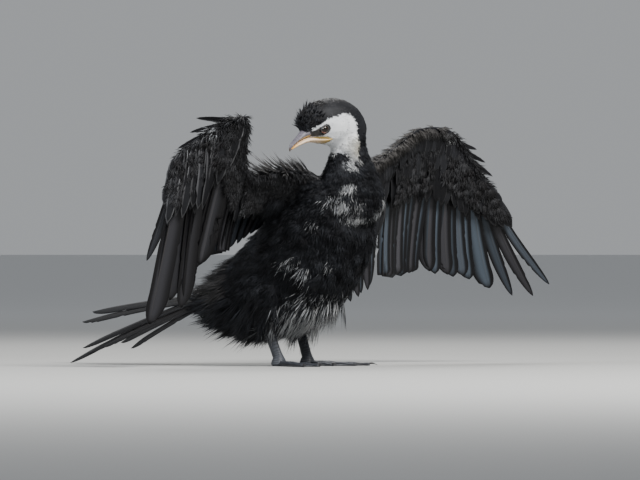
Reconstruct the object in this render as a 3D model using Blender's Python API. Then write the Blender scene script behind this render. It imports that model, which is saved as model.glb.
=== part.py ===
"""A little shag, a small cormorant, that stands with its wings held half open to dry, life size.

Metres, +Z up. The bird faces -Y and its left side is +X. Its head is turned over its right shoulder,
its right wing is half folded, its left wing is spread, and the tip of its tail rests on the floor.
"""

import math

import bmesh
import bpy
from mathutils import Matrix, Vector

for old in list(bpy.data.objects):
    bpy.data.objects.remove(old)

MM = 0.001
GAP = 0.35 * MM  # between pieces that meet
BIRD = bpy.data.collections.new("little_shag")
HELPERS = bpy.data.collections.new("helpers")
for collection in (BIRD, HELPERS):
    bpy.context.scene.collection.children.link(collection)


def mm(x, y, z):
    """A place given in millimetres."""
    return Vector((x, y, z)) * MM


# Driving places and sizes, in millimetres from the floor under the middle of the stance.
TAIL_ROOT = mm(0, 116, 71)
HEAD_AT = mm(-38, -52, 252)  # in the head's middle plane, over the eyes
HEAD_TURN = math.radians(110)  # to the bird's right
HEAD_DIP = math.radians(20)
EYE_RADIUS = 4.6 * MM
EYE_AT = (1.6, -3.9, 13.5)  # in the head's frame: forward, up and out, in millimetres
ANKLE = mm(29, 17, 40)
FOOT = mm(26, 5, 7)
TOE_SPLAY = math.radians(8)  # the feet turn out by this

PLUMAGE = (0.012, 0.012, 0.014)
BILL_YELLOW = (0.62, 0.36, 0.08)
BILL_DARK = (0.16, 0.15, 0.17)
SKIN_DARK = (0.035, 0.036, 0.045)
EYE_BROWN = (0.02, 0.012, 0.008)


def material(name, colour, roughness):
    """A plain Principled finish."""
    made = bpy.data.materials.get(name) or bpy.data.materials.new(name)
    made.use_nodes = True
    shader = made.node_tree.nodes["Principled BSDF"]
    shader.inputs["Base Color"].default_value = (*colour, 1)
    shader.inputs["Roughness"].default_value = roughness
    shader.inputs["Metallic"].default_value = 0
    return made


def face_outwards(form):
    """Turns all faces of a closed mesh the same way, out."""
    bmesh.ops.recalc_face_normals(form, faces=form.faces)
    if form.calc_volume(signed=True) < 0:
        bmesh.ops.reverse_faces(form, faces=form.faces)


def mesh_piece(name, points, faces, finish, collection=BIRD):
    """An object from points and faces, its normals facing out."""
    mesh = bpy.data.meshes.new(name)
    form = bmesh.new()
    corners = [form.verts.new(p) for p in points]
    for face in faces:
        form.faces.new([corners[i] for i in face])
    face_outwards(form)
    form.to_mesh(mesh)
    form.free()
    mesh.materials.append(finish)
    made = bpy.data.objects.new(name, mesh)
    collection.objects.link(made)
    return made


def loft(name, rings, finish, collection=BIRD):
    """A closed skin over rings with like numbers of points, with a flat cap at each end."""
    count = len(rings[0])
    points = [p for ring in rings for p in ring]
    faces = [list(range(count))[::-1], [len(points) - count + i for i in range(count)]]
    for level in range(len(rings) - 1):
        for i in range(count):
            near = level * count + i
            beside = level * count + (i + 1) % count
            faces.append([near, beside, beside + count, near + count])
    return mesh_piece(name, points, faces, finish, collection)


def along_keys(keys, share):
    """The value at a share, 0 to 1, of the way through keys, on a smooth Catmull-Rom curve."""
    spot = min(max(share, 0.0), 1.0) * (len(keys) - 1)
    first = min(int(spot), len(keys) - 2)
    t = spot - first
    before = keys[max(first - 1, 0)]
    start, end = keys[first], keys[first + 1]
    after = keys[min(first + 2, len(keys) - 1)]
    return (
        start * 2
        + (end - before) * t
        + (before * 2 - start * 5 + end * 4 - after) * t**2
        + (start * 3 - before - end * 3 + after) * t**3
    ) * 0.5


def smooth_rings(keys, steps):
    """Rings between key rows of vectors, each row one ring's vectors."""
    columns = list(zip(*keys))
    return [[along_keys(column, i / (steps - 1)) for column in columns] for i in range(steps)]


def oval(centre, side, up, low, corners):
    """A ring round a centre: side and up are half axes, low is the half axis below the centre."""
    ring = []
    for i in range(corners):
        angle = 2 * math.pi * i / corners
        rise = up if math.sin(angle) > 0 else low
        ring.append(centre + side * math.cos(angle) + rise * abs(math.sin(angle)))
    return ring


def shade(piece, angle=50):
    """Smooth shading over shallow edges."""
    piece.data.shade_smooth()
    piece.data.set_sharp_from_angle(angle=math.radians(angle))


def main_body(mesh, before):
    """Keeps only the surface that has most of the corners of the mesh before. True if it is closed."""
    corners = {tuple(round(c, 7) for c in vert.co) for vert in before.vertices}
    form = bmesh.new()
    form.from_mesh(mesh)
    bmesh.ops.dissolve_degenerate(form, dist=1e-6, edges=form.edges)
    left = set(form.faces)
    bodies = []
    while left:
        body, edge = set(), [left.pop()]
        while edge:
            face = edge.pop()
            body.add(face)
            near = {f for e in face.edges for f in e.link_faces if f in left}
            left -= near
            edge.extend(near)
        bodies.append(body)
    if not bodies:
        form.free()
        return False

    def old_corners(body):
        return len({tuple(round(c, 7) for c in v.co) for f in body for v in f.verts} & corners)

    keep = max(bodies, key=old_corners)
    bmesh.ops.delete(form, geom=[f for f in form.faces if f not in keep], context="FACES")
    face_outwards(form)
    closed = all(len(e.link_faces) == 2 for e in form.edges)
    form.to_mesh(mesh)
    form.free()
    return closed


def apply_boolean(piece, operation, others):
    """Joins or cuts a piece by others, which are then removed.

    The first setting that gives a closed result is kept."""
    group = bpy.data.collections.new("boolean")
    bpy.context.scene.collection.children.link(group)
    for other in others:
        group.objects.link(other)
    step = piece.modifiers.new("boolean", "BOOLEAN")
    step.operation = operation
    step.operand_type = "COLLECTION"
    step.collection = group
    for step.solver, step.use_self in (("EXACT", False), ("EXACT", True), ("MANIFOLD", False)):
        evaluated = piece.evaluated_get(bpy.context.evaluated_depsgraph_get())
        result = bpy.data.meshes.new_from_object(evaluated)
        if main_body(result, piece.data):
            break
    piece.modifiers.remove(step)
    piece.data = result
    for other in others:
        bpy.data.objects.remove(other)
    bpy.data.collections.remove(group)


def swollen(piece, by=GAP):
    """A helper copy of a piece, grown by a gap along its normals."""
    mesh = piece.data.copy()
    form = bmesh.new()
    form.from_mesh(mesh)
    form.normal_update()
    moves = [vert.normal * by for vert in form.verts]
    for vert, move in zip(form.verts, moves):
        vert.co += move
    form.to_mesh(mesh)
    form.free()
    made = bpy.data.objects.new(piece.name + "_room", mesh)
    HELPERS.objects.link(made)
    return made


def cut_clear(piece, *neighbours):
    """Cuts a piece back so that it meets its neighbours face to face across the gap."""
    for neighbour in neighbours:
        apply_boolean(piece, "DIFFERENCE", [swollen(neighbour)])


def fuse(piece, others):
    """Joins others to a piece as one closed body."""
    apply_boolean(piece, "UNION", others)


# How a flight feather and a covert grow along their length: share, width share, thickness share.
FLIGHT = ((0.0, 0.3, 1.0), (0.24, 0.86, 1.0), (0.68, 1.0, 0.85), (0.91, 0.72, 0.75), (1.0, 0.2, 0.7))
COVERT = ((0.0, 0.55, 1.0), (0.4, 1.0, 1.0), (0.8, 0.85, 0.9), (1.0, 0.3, 0.8))
EDGE_HALF_THICKNESS = 0.27 * MM
SHAFT_HALF_THICKNESS = 0.5 * MM
COVERT_HALF_THICKNESS = 0.4 * MM
EDGE_DROOP = 0.12  # of the half width


def vane(
    name, root, tip, upper, half_width, finish, outline=FLIGHT, tilt=0.0, bow=0.03, thick=1.0, shaft=0.0
):
    """One feather as a thin tapered blade, bowed along its length and drooping at both edges.

    upper is the way its upper side faces, tilt turns it about its length, in degrees, and shaft moves
    the ridge of the blade towards the front edge. Both faces are split into triangles alike."""
    ahead = (tip - root).normalized()
    across = ahead.cross(upper).normalized()
    across = Matrix.Rotation(math.radians(tilt), 3, ahead) @ across
    rise = across.cross(ahead)
    reach = (tip - root).length
    broad = outline is FLIGHT
    points = []
    for share, wide, heavy in outline:
        middle = root.lerp(tip, share) + rise * bow * reach * 4 * share * (1 - share)
        half = across * half_width * wide
        droop = rise * -EDGE_DROOP * half_width * wide
        edge, ridge = rise * EDGE_HALF_THICKNESS, rise * SHAFT_HALF_THICKNESS * thick * heavy
        if broad:
            front = middle + half * shaft
            line = ((middle - half + droop, edge), (front, ridge), (middle + half + droop, edge))
        else:
            flat = rise * COVERT_HALF_THICKNESS * thick
            line = ((middle - half, flat), (middle + half, flat))
        points += [p + e for p, e in line] + [p - e for p, e in line[::-1]]
    count = 6 if broad else 4
    half_count = count // 2
    faces = []
    for level in range(len(outline) - 1):
        near, far = level * count, (level + 1) * count
        for i in range(half_count - 1):
            j, k = count - 1 - i, count - 2 - i
            faces += [(near + i, near + i + 1, far + i + 1), (near + i, far + i + 1, far + i)]
            faces += [(near + j, far + k, near + k), (near + j, far + j, far + k)]
        for i in (half_count - 1, count - 1):
            beside = (i + 1) % count
            faces += [(near + i, near + beside, far + beside), (near + i, far + beside, far + i)]
    last = len(points) - count
    for start in (0, last):
        for i in range(half_count - 1):
            j = count - 1 - i
            faces += [(start + i, start + i + 1, start + j), (start + i + 1, start + j - 1, start + j)]
    return mesh_piece(name, points, faces, finish, HELPERS)


# The torso: sections between the line of the back and the line of the belly.
BACK_LINE = (
    (124, 79), (105, 90), (77, 111), (46, 138), (15, 167), (-14, 191), (-38, 204), (-56, 205), (-68, 196)
)
BELLY_LINE = (
    (118, 58), (98, 43), (66, 33), (28, 33), (-16, 41), (-50, 63), (-74, 95), (-87, 127), (-88, 158)
)
TORSO_HALF_WIDTHS = (15, 27, 42, 53, 57, 56, 51, 43, 24)


def make_torso():
    keys = []
    for back, belly, width in zip(BACK_LINE, BELLY_LINE, TORSO_HALF_WIDTHS):
        top, bottom = mm(0, *back), mm(0, *belly)
        keys.append((top.lerp(bottom, 0.46), mm(width, 0, 0), top, bottom))
    rings = []
    for centre, side, top, bottom in smooth_rings(keys, 17):
        rings.append(oval(centre, side, top - centre, bottom - centre, 24))
    return loft("torso", rings, material("plumage", PLUMAGE, 0.75))


# The head, in its own frame: forward along the bill, up, and out to the side, from HEAD_AT.
HEAD_FORWARD = Matrix.Rotation(-HEAD_TURN, 3, "Z") @ Vector((0, -math.cos(HEAD_DIP), -math.sin(HEAD_DIP)))
HEAD_LEFT = Matrix.Rotation(-HEAD_TURN, 3, "Z") @ Vector((1, 0, 0))
HEAD_UP = HEAD_FORWARD.cross(HEAD_LEFT)
# Forward, top, bottom and half width of each section, in millimetres, from the nape to the bill.
HEAD_SECTIONS = (
    (-55, -8, -26, 7),
    (-51, 3, -33, 14),
    (-42, 13, -38, 19.5),
    (-30, 20.5, -37, 22),
    (-15, 24, -31, 21.5),
    (0, 24, -22, 17.5),
    (8, 22, -17.5, 13.4),
    (14, 18.5, -11, 9.6),
    (18, 14, -6.5, 7.2),
    (20.5, 9, -3.5, 5.0),
)


def in_head(forward, up, out=0.0):
    """A place in the head's frame, in millimetres, as a place in the room."""
    return HEAD_AT + (HEAD_FORWARD * forward + HEAD_UP * up + HEAD_LEFT * out) * MM


def head_rings(sections, steps, corners):
    keys = []
    for forward, top, bottom, width in sections:
        high, low = in_head(forward, top), in_head(forward, bottom)
        keys.append((high.lerp(low, 0.5), HEAD_LEFT * width * MM, high, low))
    return [
        oval(centre, side, high - centre, low - centre, corners)
        for centre, side, high, low in smooth_rings(keys, steps)
    ]


LID_LENGTH, LID_HEIGHT = 4.2, 3.7  # half axes of the rim of the lids, in millimetres
LID_THICKNESS = 0.8
LID_OUT = 16.6


def make_lids(sign):
    """Upper and lower lid as one rounded rim that closes round the eyeball."""
    bpy.ops.mesh.primitive_torus_add(
        major_segments=16, minor_segments=6, major_radius=1, minor_radius=LID_THICKNESS / LID_LENGTH
    )
    lids = bpy.context.object
    lids.data.transform(Matrix.Diagonal((LID_LENGTH, LID_HEIGHT, LID_LENGTH, 1)))
    turn = Matrix((HEAD_FORWARD, HEAD_UP, HEAD_LEFT)).transposed().to_4x4()
    place = Matrix.Translation(in_head(EYE_AT[0], EYE_AT[1], LID_OUT * sign))
    lids.data.transform(place @ turn @ Matrix.Scale(MM, 4))
    return lids


def make_head():
    head = loft("head", head_rings(HEAD_SECTIONS, 16, 18), material("plumage", PLUMAGE, 0.75))
    fuse(head, [make_lids(1), make_lids(-1)])
    return head


# The lip of the upper bill, and with it the line of the mouth, runs back under the eye.
UPPER_BILL = (
    (-4, -11.5, -16.0, 13.6),
    (2, -7.5, -13.2, 12.9),
    (8, -2.0, -10.6, 10.2),
    (14, 1.8, -8.2, 7.8),
    (20, 1.3, -7.4, 5.8),
    (27, -2.0, -7.8, 4.5),
    (33, -4.6, -9.4, 3.5),
    (38, -7.0, -11.6, 2.5),
    (40.6, -9.8, -13.8, 1.4),
    (41.6, -12.0, -14.8, 0.7),
)
LOWER_BILL = (
    (-5, -14.5, -19.5, 13.9),
    (1, -12.4, -19.6, 12.9),
    (8, -9.8, -17.0, 10.4),
    (15, -7.4, -14.0, 7.6),
    (22, -7.2, -12.7, 5.6),
    (30, -8.6, -12.7, 4.0),
    (36, -10.4, -13.1, 2.6),
    (39, -11.6, -13.4, 1.2),
)


def make_bill(head):
    upper = loft("bill_upper", head_rings(UPPER_BILL, 16, 12), material("bill_ridge", BILL_DARK, 0.4))
    lower = loft("bill_lower", head_rings(LOWER_BILL, 14, 12), material("bill", BILL_YELLOW, 0.4))
    cut_clear(upper, head)
    cut_clear(lower, head, upper)
    return upper, lower


def make_eyes(head):
    eyes = []
    for side, sign in (("left", 1), ("right", -1)):
        forward, up, out = EYE_AT
        bpy.ops.mesh.primitive_uv_sphere_add(
            segments=16, ring_count=8, radius=EYE_RADIUS, location=in_head(forward, up, out * sign)
        )
        eye = bpy.context.object
        eye.name = eye.data.name = f"eye_{side}"
        for holder in eye.users_collection:
            holder.objects.unlink(eye)
        BIRD.objects.link(eye)
        eye.data.transform(eye.matrix_world)
        eye.matrix_world = Matrix.Identity(4)
        eye.data.materials.append(material("eye", EYE_BROWN, 0.1))
        shade(eye)
        eyes.append(eye)
    cut_clear(head, *eyes)
    return eyes


# The neck from inside the breast up: how far forward, height, half width, half depth, and how far right.
NECK_SECTIONS = (
    (-54, 143, 33, 31, 0),
    (-64, 160, 39, 36, -1),
    (-69, 178, 39, 36, -1.5),
    (-70, 195, 32.5, 31, -2),
    (-69.5, 212, 25.5, 25, -2.5),
    (-68, 228, 20.2, 20.2, -3),
    (-66.5, 243, 20, 20, -3),
    (-62, 252, 15, 15, -3),
)


def make_neck(torso, head):
    keys = []
    for forward, height, width, depth, right in NECK_SECTIONS:
        keys.append((mm(right, forward, height), mm(width, 0, 0), mm(0, -depth, 0)))
    rings = [oval(centre, side, front, -front, 20) for centre, side, front in smooth_rings(keys, 13)]
    neck = loft("neck", rings, material("plumage", PLUMAGE, 0.75))
    cut_clear(neck, torso, head)
    return neck


# A thigh, a shank and a foot on each side.
# How far out, how far back, height, half width and half depth of each section of a thigh.
THIGH_SECTIONS = (
    (26, 4, 104, 25, 30),
    (33, 8, 82, 24, 29),
    (34, 13, 62, 18, 22),
    (31, 16, 48, 11, 13),
    (29, 17, 39, 7, 8),
)


def mirrored(place, sign):
    return Vector((place.x * sign, place.y, place.z))


def make_thigh(side, sign, torso):
    keys = []
    for out, back, height, width, depth in THIGH_SECTIONS:
        centre = mirrored(mm(out, back, height), sign)
        keys.append((centre, mm(width, 0, 0), mm(0, -depth, 0)))
    rings = [oval(centre, across, front, -front, 16) for centre, across, front in smooth_rings(keys, 9)]
    thigh = loft(f"thigh_{side}", rings, material("plumage", PLUMAGE, 0.75))
    cut_clear(thigh, torso)
    return thigh


def make_shank(side, sign, thigh):
    """The bare tarsus, flattened from side to side."""
    top = mirrored(ANKLE + mm(0, 3, 12), sign)
    ankle, foot = mirrored(ANKLE, sign), mirrored(FOOT, sign)
    axis = (foot - ankle).normalized()
    ahead = Vector((0, -1, 0))
    front = (ahead - axis * ahead.dot(axis)).normalized()
    upper, lower = ankle.lerp(foot, 0.3), ankle.lerp(foot, 0.75)
    widths = ((top, 3.6, 4.6), (ankle, 4.6, 6.2), (upper, 3.7, 5.2), (lower, 3.6, 5.0), (foot, 4.6, 5.6))
    keys = [(centre, mm(width, 0, 0), front * depth * MM) for centre, width, depth in widths]
    rings = [oval(centre, across, ahead, -ahead, 12) for centre, across, ahead in smooth_rings(keys, 9)]
    shank = loft(f"shank_{side}", rings, material("leg_skin", SKIN_DARK, 0.5))
    cut_clear(shank, thigh)
    return shank


# Each toe: how far it turns in from straight ahead, its length, and its height at the root.
TOES = ((-24, 66, 6.6), (0, 58, 6.4), (25, 43, 6.0), (56, 20, 4.8))
TOE_HALF_WIDTH = 3.0
# Along a toe: share of its length, height and width shares, and how far the sole is off the floor.
TOE_SECTIONS = (
    (-0.02, 0.9, 1.0, 1.2),
    (0.14, 0.86, 0.95, 0.9),
    (0.36, 0.8, 1.12, 0.0),
    (0.5, 0.62, 0.9, 0.0),
    (0.68, 0.66, 1.0, 0.0),
    (0.84, 0.5, 0.82, 0.0),
    (0.97, 0.5, 0.86, 0.0),
    (1.0, 0.34, 0.6, 0.25),
)
CLAW_LENGTH = 8.0
CLAW_SECTIONS = (  # share of its length, height and size
    (-0.35, 1.7, 1.25),
    (0.15, 2.3, 1.2),
    (0.6, 1.9, 0.8),
    (1.0, 0.75, 0.32),
)
WEB_THICKNESS = 1.5
WEB_LIFT = 0.35
WEB_REACH = 0.93  # of the toes' length
WEB_HOLLOW = 0.16  # how far its front edge is drawn back between two toes, as a share
WEB_HEEL = ((180, 5), (-60, 3))  # its rear corners: turn and distance
BALL_SECTIONS = ((0, 6.4), (2.2, 8.0), (5.5, 7.4), (8.5, 5.2), (10.5, 2.6))  # height and radius


def toe_direction(turn, sign):
    """Straight ahead is -Y. A positive turn goes in towards the other foot."""
    angle = -math.radians(turn) * sign + TOE_SPLAY * sign
    return Vector((math.sin(angle), -math.cos(angle), 0))


def toe_rings(root, ahead, across, length, height):
    """Rings of a toe that is flat below and arched above."""
    rings = []
    for share, tall, wide, lift in TOE_SECTIONS:
        middle = root + ahead * length * share * MM
        half = across * TOE_HALF_WIDTH * wide * MM
        rise, low = mm(0, 0, height * tall), mm(0, 0, lift)
        rings.append([
            middle + low - half * 0.75,
            middle + low + half * 0.75,
            middle + half + rise * 0.35 + low * 0.5,
            middle + half * 0.62 + rise * 0.82,
            middle + rise,
            middle - half * 0.62 + rise * 0.82,
            middle - half + rise * 0.35 + low * 0.5,
        ])
    return rings


def claw_rings(root, ahead, across, length):
    rings = []
    for share, height, size in CLAW_SECTIONS:
        middle = root + ahead * (length + CLAW_LENGTH * share) * MM + mm(0, 0, height)
        rings.append(oval(middle, across * size * 0.8 * MM, mm(0, 0, size), mm(0, 0, -size * 0.8), 6))
    return rings


def make_web(side, sign, root, skin):
    """A plate from toe to toe whose front edge is drawn back between them."""
    edge = []
    for (turn, length, _), (next_turn, next_length, _) in zip(TOES, TOES[1:]):
        for share in (0, 0.25, 0.5, 0.75):
            reach = (length + (next_length - length) * share) * WEB_REACH
            reach *= 1 - WEB_HOLLOW * math.sin(math.pi * share)
            edge.append(toe_direction(turn + (next_turn - turn) * share, sign) * reach)
    edge.append(toe_direction(TOES[-1][0], sign) * TOES[-1][1] * WEB_REACH)
    outline = edge + [toe_direction(turn, sign) * far for turn, far in WEB_HEEL]
    low = [root + place * MM + mm(0, 0, WEB_LIFT) for place in outline]
    count = len(low)
    points = low + [place + mm(0, 0, WEB_THICKNESS) for place in low]
    faces = [list(range(count)), list(range(count, 2 * count))]
    faces += [[i, (i + 1) % count, (i + 1) % count + count, i + count] for i in range(count)]
    return mesh_piece(f"web_{side}", points, faces, skin, HELPERS)


def make_foot(side, sign, shank):
    """Four toes joined by webs, flat below, with a claw on each."""
    skin = material("leg_skin", SKIN_DARK, 0.5)
    root = mirrored(Vector((FOOT.x, FOOT.y, 0)), sign)
    pieces = [make_web(side, sign, root, skin)]
    for turn, length, height in TOES:
        ahead = toe_direction(turn, sign)
        across = Vector((-ahead.y, ahead.x, 0))
        pieces.append(loft("toe", toe_rings(root, ahead, across, length, height), skin, HELPERS))
        pieces.append(loft("claw", claw_rings(root, ahead, across, length), skin, HELPERS))
    # The ball of the foot, a low dome that the toes and the shank come out of.
    ball = []
    for height, size in BALL_SECTIONS:
        ball.append(oval(root + mm(0, 0, height), mm(size, 0, 0), mm(0, size, 0), mm(0, -size, 0), 14))
    foot = loft(f"foot_{side}", ball, skin)
    fuse(foot, pieces)
    cut_clear(foot, shank)
    return foot


class Wing:
    """The places of one wing: front and rear edge of its flesh from the shoulder to the end of the hand, in
    three parts, and the tips of its flight feathers, each row from the body outwards."""

    def __init__(self, side, sign, lead, trail, thick, rows, tips, thumb):
        self.side, self.sign, self.thumb = side, sign, thumb
        self.lead, self.trail, self.thick = lead, trail, thick
        self.rows = rows  # from where to where each row is rooted, as shares of its part
        self.tips = tips


LEFT_WING = Wing(
    "left", 1,
    lead=(
        mm(18, -40, 200), mm(62, -52, 212), mm(110, -54, 235), mm(160, -50, 253), mm(211, -56, 250),
        mm(249, -60, 216), mm(277, -65, 187),
    ),
    trail=(
        mm(24, 12, 165), mm(62, -8, 172), mm(120, -28, 188), mm(158, -30, 214), mm(196, -36, 224),
        mm(232, -46, 205), mm(267, -60, 181),
    ),
    thick=(30, 22, 14, 12, 11, 8, 5),
    rows={"arm": (0.1, 0.8), "forearm": (0.12, 0.86), "hand": (0.15, 0.96)},
    tips={
        "hand": (
            mm(214, -15, 93), mm(230, -20, 92), mm(246, -25, 90), mm(260, -29, 90), mm(274, -33, 90),
            mm(288, -37, 84), mm(304, -42, 77), mm(330, -53, 70), mm(356, -63, 70), mm(374, -72, 83),
        ),
        "forearm": (
            mm(133, -9, 97), mm(142, -5, 96), mm(150, -2, 95), mm(158, -2, 93), mm(166, -3, 91),
            mm(174, -4, 89), mm(182, -5, 89), mm(191, -6, 91), mm(201, -7, 93),
        ),
        "arm": (mm(80, -14, 69), mm(91, -14, 70), mm(102, -14, 73), mm(112, -13, 77), mm(123, -11, 83)),
    },
    thumb=(mm(252, -66, 228), mm(262, -68, 214), mm(272, -70, 200)),
)
RIGHT_WING = Wing(
    "right", -1,
    lead=(
        mm(-18, -40, 200), mm(-68, -34, 205), mm(-108, -17, 204), mm(-128, -28, 232), mm(-151, -42, 262),
        mm(-176, -6, 245), mm(-193, 20, 218),
    ),
    trail=(
        mm(-24, 12, 165), mm(-70, 6, 168), mm(-115, 2, 177), mm(-138, -11, 214), mm(-156, -27, 244),
        mm(-172, -4, 226), mm(-190, 18, 208),
    ),
    thick=(30, 22, 14, 11, 11, 8, 5),
    rows={"arm": (0.32, 0.88), "forearm": (0.3, 0.8), "hand": (0.17, 0.96)},
    tips={
        "hand": (
            mm(-134, 30, 103), mm(-137, 33, 100), mm(-140, 36, 97), mm(-143, 38, 90), mm(-145, 39, 65),
            mm(-152, 41, 58), mm(-168, 44, 66), mm(-184, 49, 52), mm(-194.6, 51, 41.5), mm(-198, 51, 109),
        ),
        "forearm": (
            mm(-113, 24, 115), mm(-117, 27, 113), mm(-121, 30, 112), mm(-125, 33, 111), mm(-129, 36, 111),
            mm(-133, 39, 111), mm(-136, 44, 112),
        ),
        "arm": (mm(-57, 21, 136), mm(-66, 23, 131), mm(-78, 22, 126), mm(-91, 22, 122), mm(-103, 23, 118)),
    },
    thumb=(mm(-180, 4, 259), mm(-184, 9, 240), mm(-192, 20, 223)),
)
WING_PARTS = {"arm": (0, 2), "forearm": (2, 4), "hand": (4, 6)}  # first and last key section of each


def wing_section(wing, part, share):
    """Front edge, rear edge, thickness, upper side and span of the fleshy wing, at a share of a part."""
    first, last = WING_PARTS[part]
    leads, trails = wing.lead[first : last + 1], wing.trail[first : last + 1]
    lead, trail = along_keys(leads, share), along_keys(trails, share)
    thick = along_keys(wing.thick[first : last + 1], share) * MM
    ahead = along_keys(leads, share + 0.1) + along_keys(trails, share + 0.1)
    behind = along_keys(leads, share - 0.1) + along_keys(trails, share - 0.1)
    if share >= 1 and last < len(wing.lead) - 1:
        ahead += (wing.lead[last + 1] + wing.trail[last + 1] - ahead) * 0.2
    if share <= 0 and first > 0:
        behind += (wing.lead[first - 1] + wing.trail[first - 1] - behind) * 0.2
    span = (ahead - behind).normalized()
    chord = (trail - lead).normalized()
    upper = span.cross(chord).normalized() * wing.sign
    return lead, trail, thick, upper, span


def wing_flesh(wing, part):
    """The feathered arm of one part of the wing, an oval blade from front edge to rear edge."""
    steps = 7
    rings = []
    for i in range(steps):
        share = i / (steps - 1)
        lead, trail, thick, upper, span = wing_section(wing, part, share)
        nudge = Vector((0, 0, 0))
        if i == 0 and part != "arm":
            nudge = span * GAP / 2
        if i == steps - 1 and part != "hand":
            nudge = -span * GAP / 2
        centre = lead.lerp(trail, 0.5) + nudge
        rings.append(oval(centre, (trail - lead) * 0.5, upper * thick * 0.5, -upper * thick * 0.5, 12))
    return loft(f"wing_{wing.side}_{part}", rings, material("flight_feathers", PLUMAGE, 0.5))


FEATHER_HALF_WIDTHS = {"arm": 9.0, "forearm": 8.2, "hand": 9.4}  # millimetres
QUILL_AHEAD = 0.35  # the roots are ahead of the rear edge by this share of the flesh's breadth
# How far the first feather of a row passes under the row before, and the rise to each next one.
FIRST_DROP, DROP_STEP = 5.2, 1.3


def quill(wing, part, number):
    """Root, tip and upper side of one flight feather."""
    tips = wing.tips[part]

    def line(at):
        first, last = wing.rows[part]
        share = first + (last - first) * at / (len(tips) - 1)
        lead, trail, *_ = wing_section(wing, part, share)
        return trail.lerp(lead, QUILL_AHEAD), tips[min(max(at, 0), len(tips) - 1)]

    root, tip = line(number)
    near, far = line(number - 1), line(number + 1)
    span = (far[0] + far[1] - near[0] - near[1]).normalized()
    upper = span.cross(tip - root).normalized() * wing.sign
    # The first feathers of each part pass under the row of the part before.
    shift = upper * -max(0.0, FIRST_DROP - DROP_STEP * number) * MM if part != "arm" else upper * MM
    return root + shift, tip + shift, upper


def flight_feathers(wing, part):
    """The row of primaries, secondaries or tertials, each with its front edge over the next one out."""
    vanes = []
    finish = material("flight_feathers", PLUMAGE, 0.5)
    width = FEATHER_HALF_WIDTHS[part] * MM
    tilt, shaft = 7 * wing.sign, 0.25 * wing.sign
    for number in range(len(wing.tips[part])):
        root, tip, upper = quill(wing, part, number)
        vanes.append(vane("flight", root, tip, upper, width, finish, tilt=tilt, bow=0.035, shaft=shaft))
    return vanes


COVERT_REACH = 0.42  # of the flight feather below
COVERT_RISE = 1.2 * MM  # off the flight feathers at the root
COVERT_CLEARANCE = 4.2 * MM  # and at the tip
COVERT_HALF_WIDTH = 8.0 * MM
FIRST_COVERT = {"arm": 0, "forearm": 1, "hand": 3}  # the flight feather below it
COVERT_STEP = {"arm": 1, "forearm": 2, "hand": 3}


def greater_coverts(wing, part):
    """The tier over the roots of the flight feathers, on the wing's upper side and on its under side."""
    vanes = []
    finish = material("flight_feathers", PLUMAGE, 0.5)
    for face in (1, -1):
        for number in range(FIRST_COVERT[part], len(wing.tips[part]), COVERT_STEP[part]):
            root, tip, upper = quill(wing, part, number)
            start = root + upper * face * COVERT_RISE
            end = root.lerp(tip, COVERT_REACH) + upper * face * COVERT_CLEARANCE
            vanes.append(vane("covert", start, end, upper, COVERT_HALF_WIDTH, finish, COVERT, bow=0.0))
    return vanes


THUMB_ROOTS = (0.12, 0.24, 0.36)  # shares of the hand
THUMB_BACK = 0.3  # from the front edge, as a share of the flesh's breadth
THUMB_HALF_WIDTH = 4.5 * MM


def alula(wing):
    """The three small stiff feathers on the thumb, which stand off the front edge of a half folded wing."""
    finish = material("flight_feathers", PLUMAGE, 0.5)
    vanes = []
    for share, tip in zip(THUMB_ROOTS, wing.thumb):
        lead, trail, _, upper, _ = wing_section(wing, "hand", share)
        root = lead.lerp(trail, THUMB_BACK)
        vanes.append(vane("thumb", root, tip, upper, THUMB_HALF_WIDTH, finish, COVERT, bow=0.02))
    return vanes


def make_wing(wing, torso):
    """The flesh of the three parts is cut to meet first, and each then takes its feathers."""
    arm, forearm, hand = (wing_flesh(wing, part) for part in WING_PARTS)
    cut_clear(arm, torso)
    cut_clear(forearm, arm)
    cut_clear(hand, forearm)
    for part, flesh in zip(WING_PARTS, (arm, forearm, hand)):
        feathers = flight_feathers(wing, part) + greater_coverts(wing, part)
        fuse(flesh, feathers + (alula(wing) if part == "hand" else []))
    cut_clear(arm, torso)
    return arm, forearm, hand


# The tail: stiff feathers in two groups, tipped over to the right, from the right side to the left.
TAIL_TIPS = (
    mm(-46, 186, 16), mm(-37, 206, 22), mm(-34, 232, 17), mm(-32, 254, 10),
    mm(-30, 278, -0.5), mm(-24, 266, 16), mm(-6, 239, 29), mm(2, 208, 45),
    mm(12, 293, 44), mm(25, 289, 55), mm(36, 235, 61), mm(40, 197, 65),
)
TAIL_ACROSS = Vector((math.cos(math.radians(28)), 0, math.sin(math.radians(28))))
TAIL_ROOT_SPREAD = 10 * MM
TAIL_HALF_WIDTH = 7.8 * MM
TAIL_TILT = 4  # degrees, either way from the middle
TAIL_TOP, TAIL_STEP = 2.2, 0.75  # the middle feathers' height over the root, and the drop to each next one
STUMP_SECTIONS = ((-22, 15, 13), (0, 16, 10), (22, 15, 6.5), (40, 11, 3.2))  # back, half width, half depth


def tail_feather_root(number):
    share = number / (len(TAIL_TIPS) - 1)
    return TAIL_ROOT + TAIL_ACROSS * TAIL_ROOT_SPREAD * (share * 2 - 1)


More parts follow.
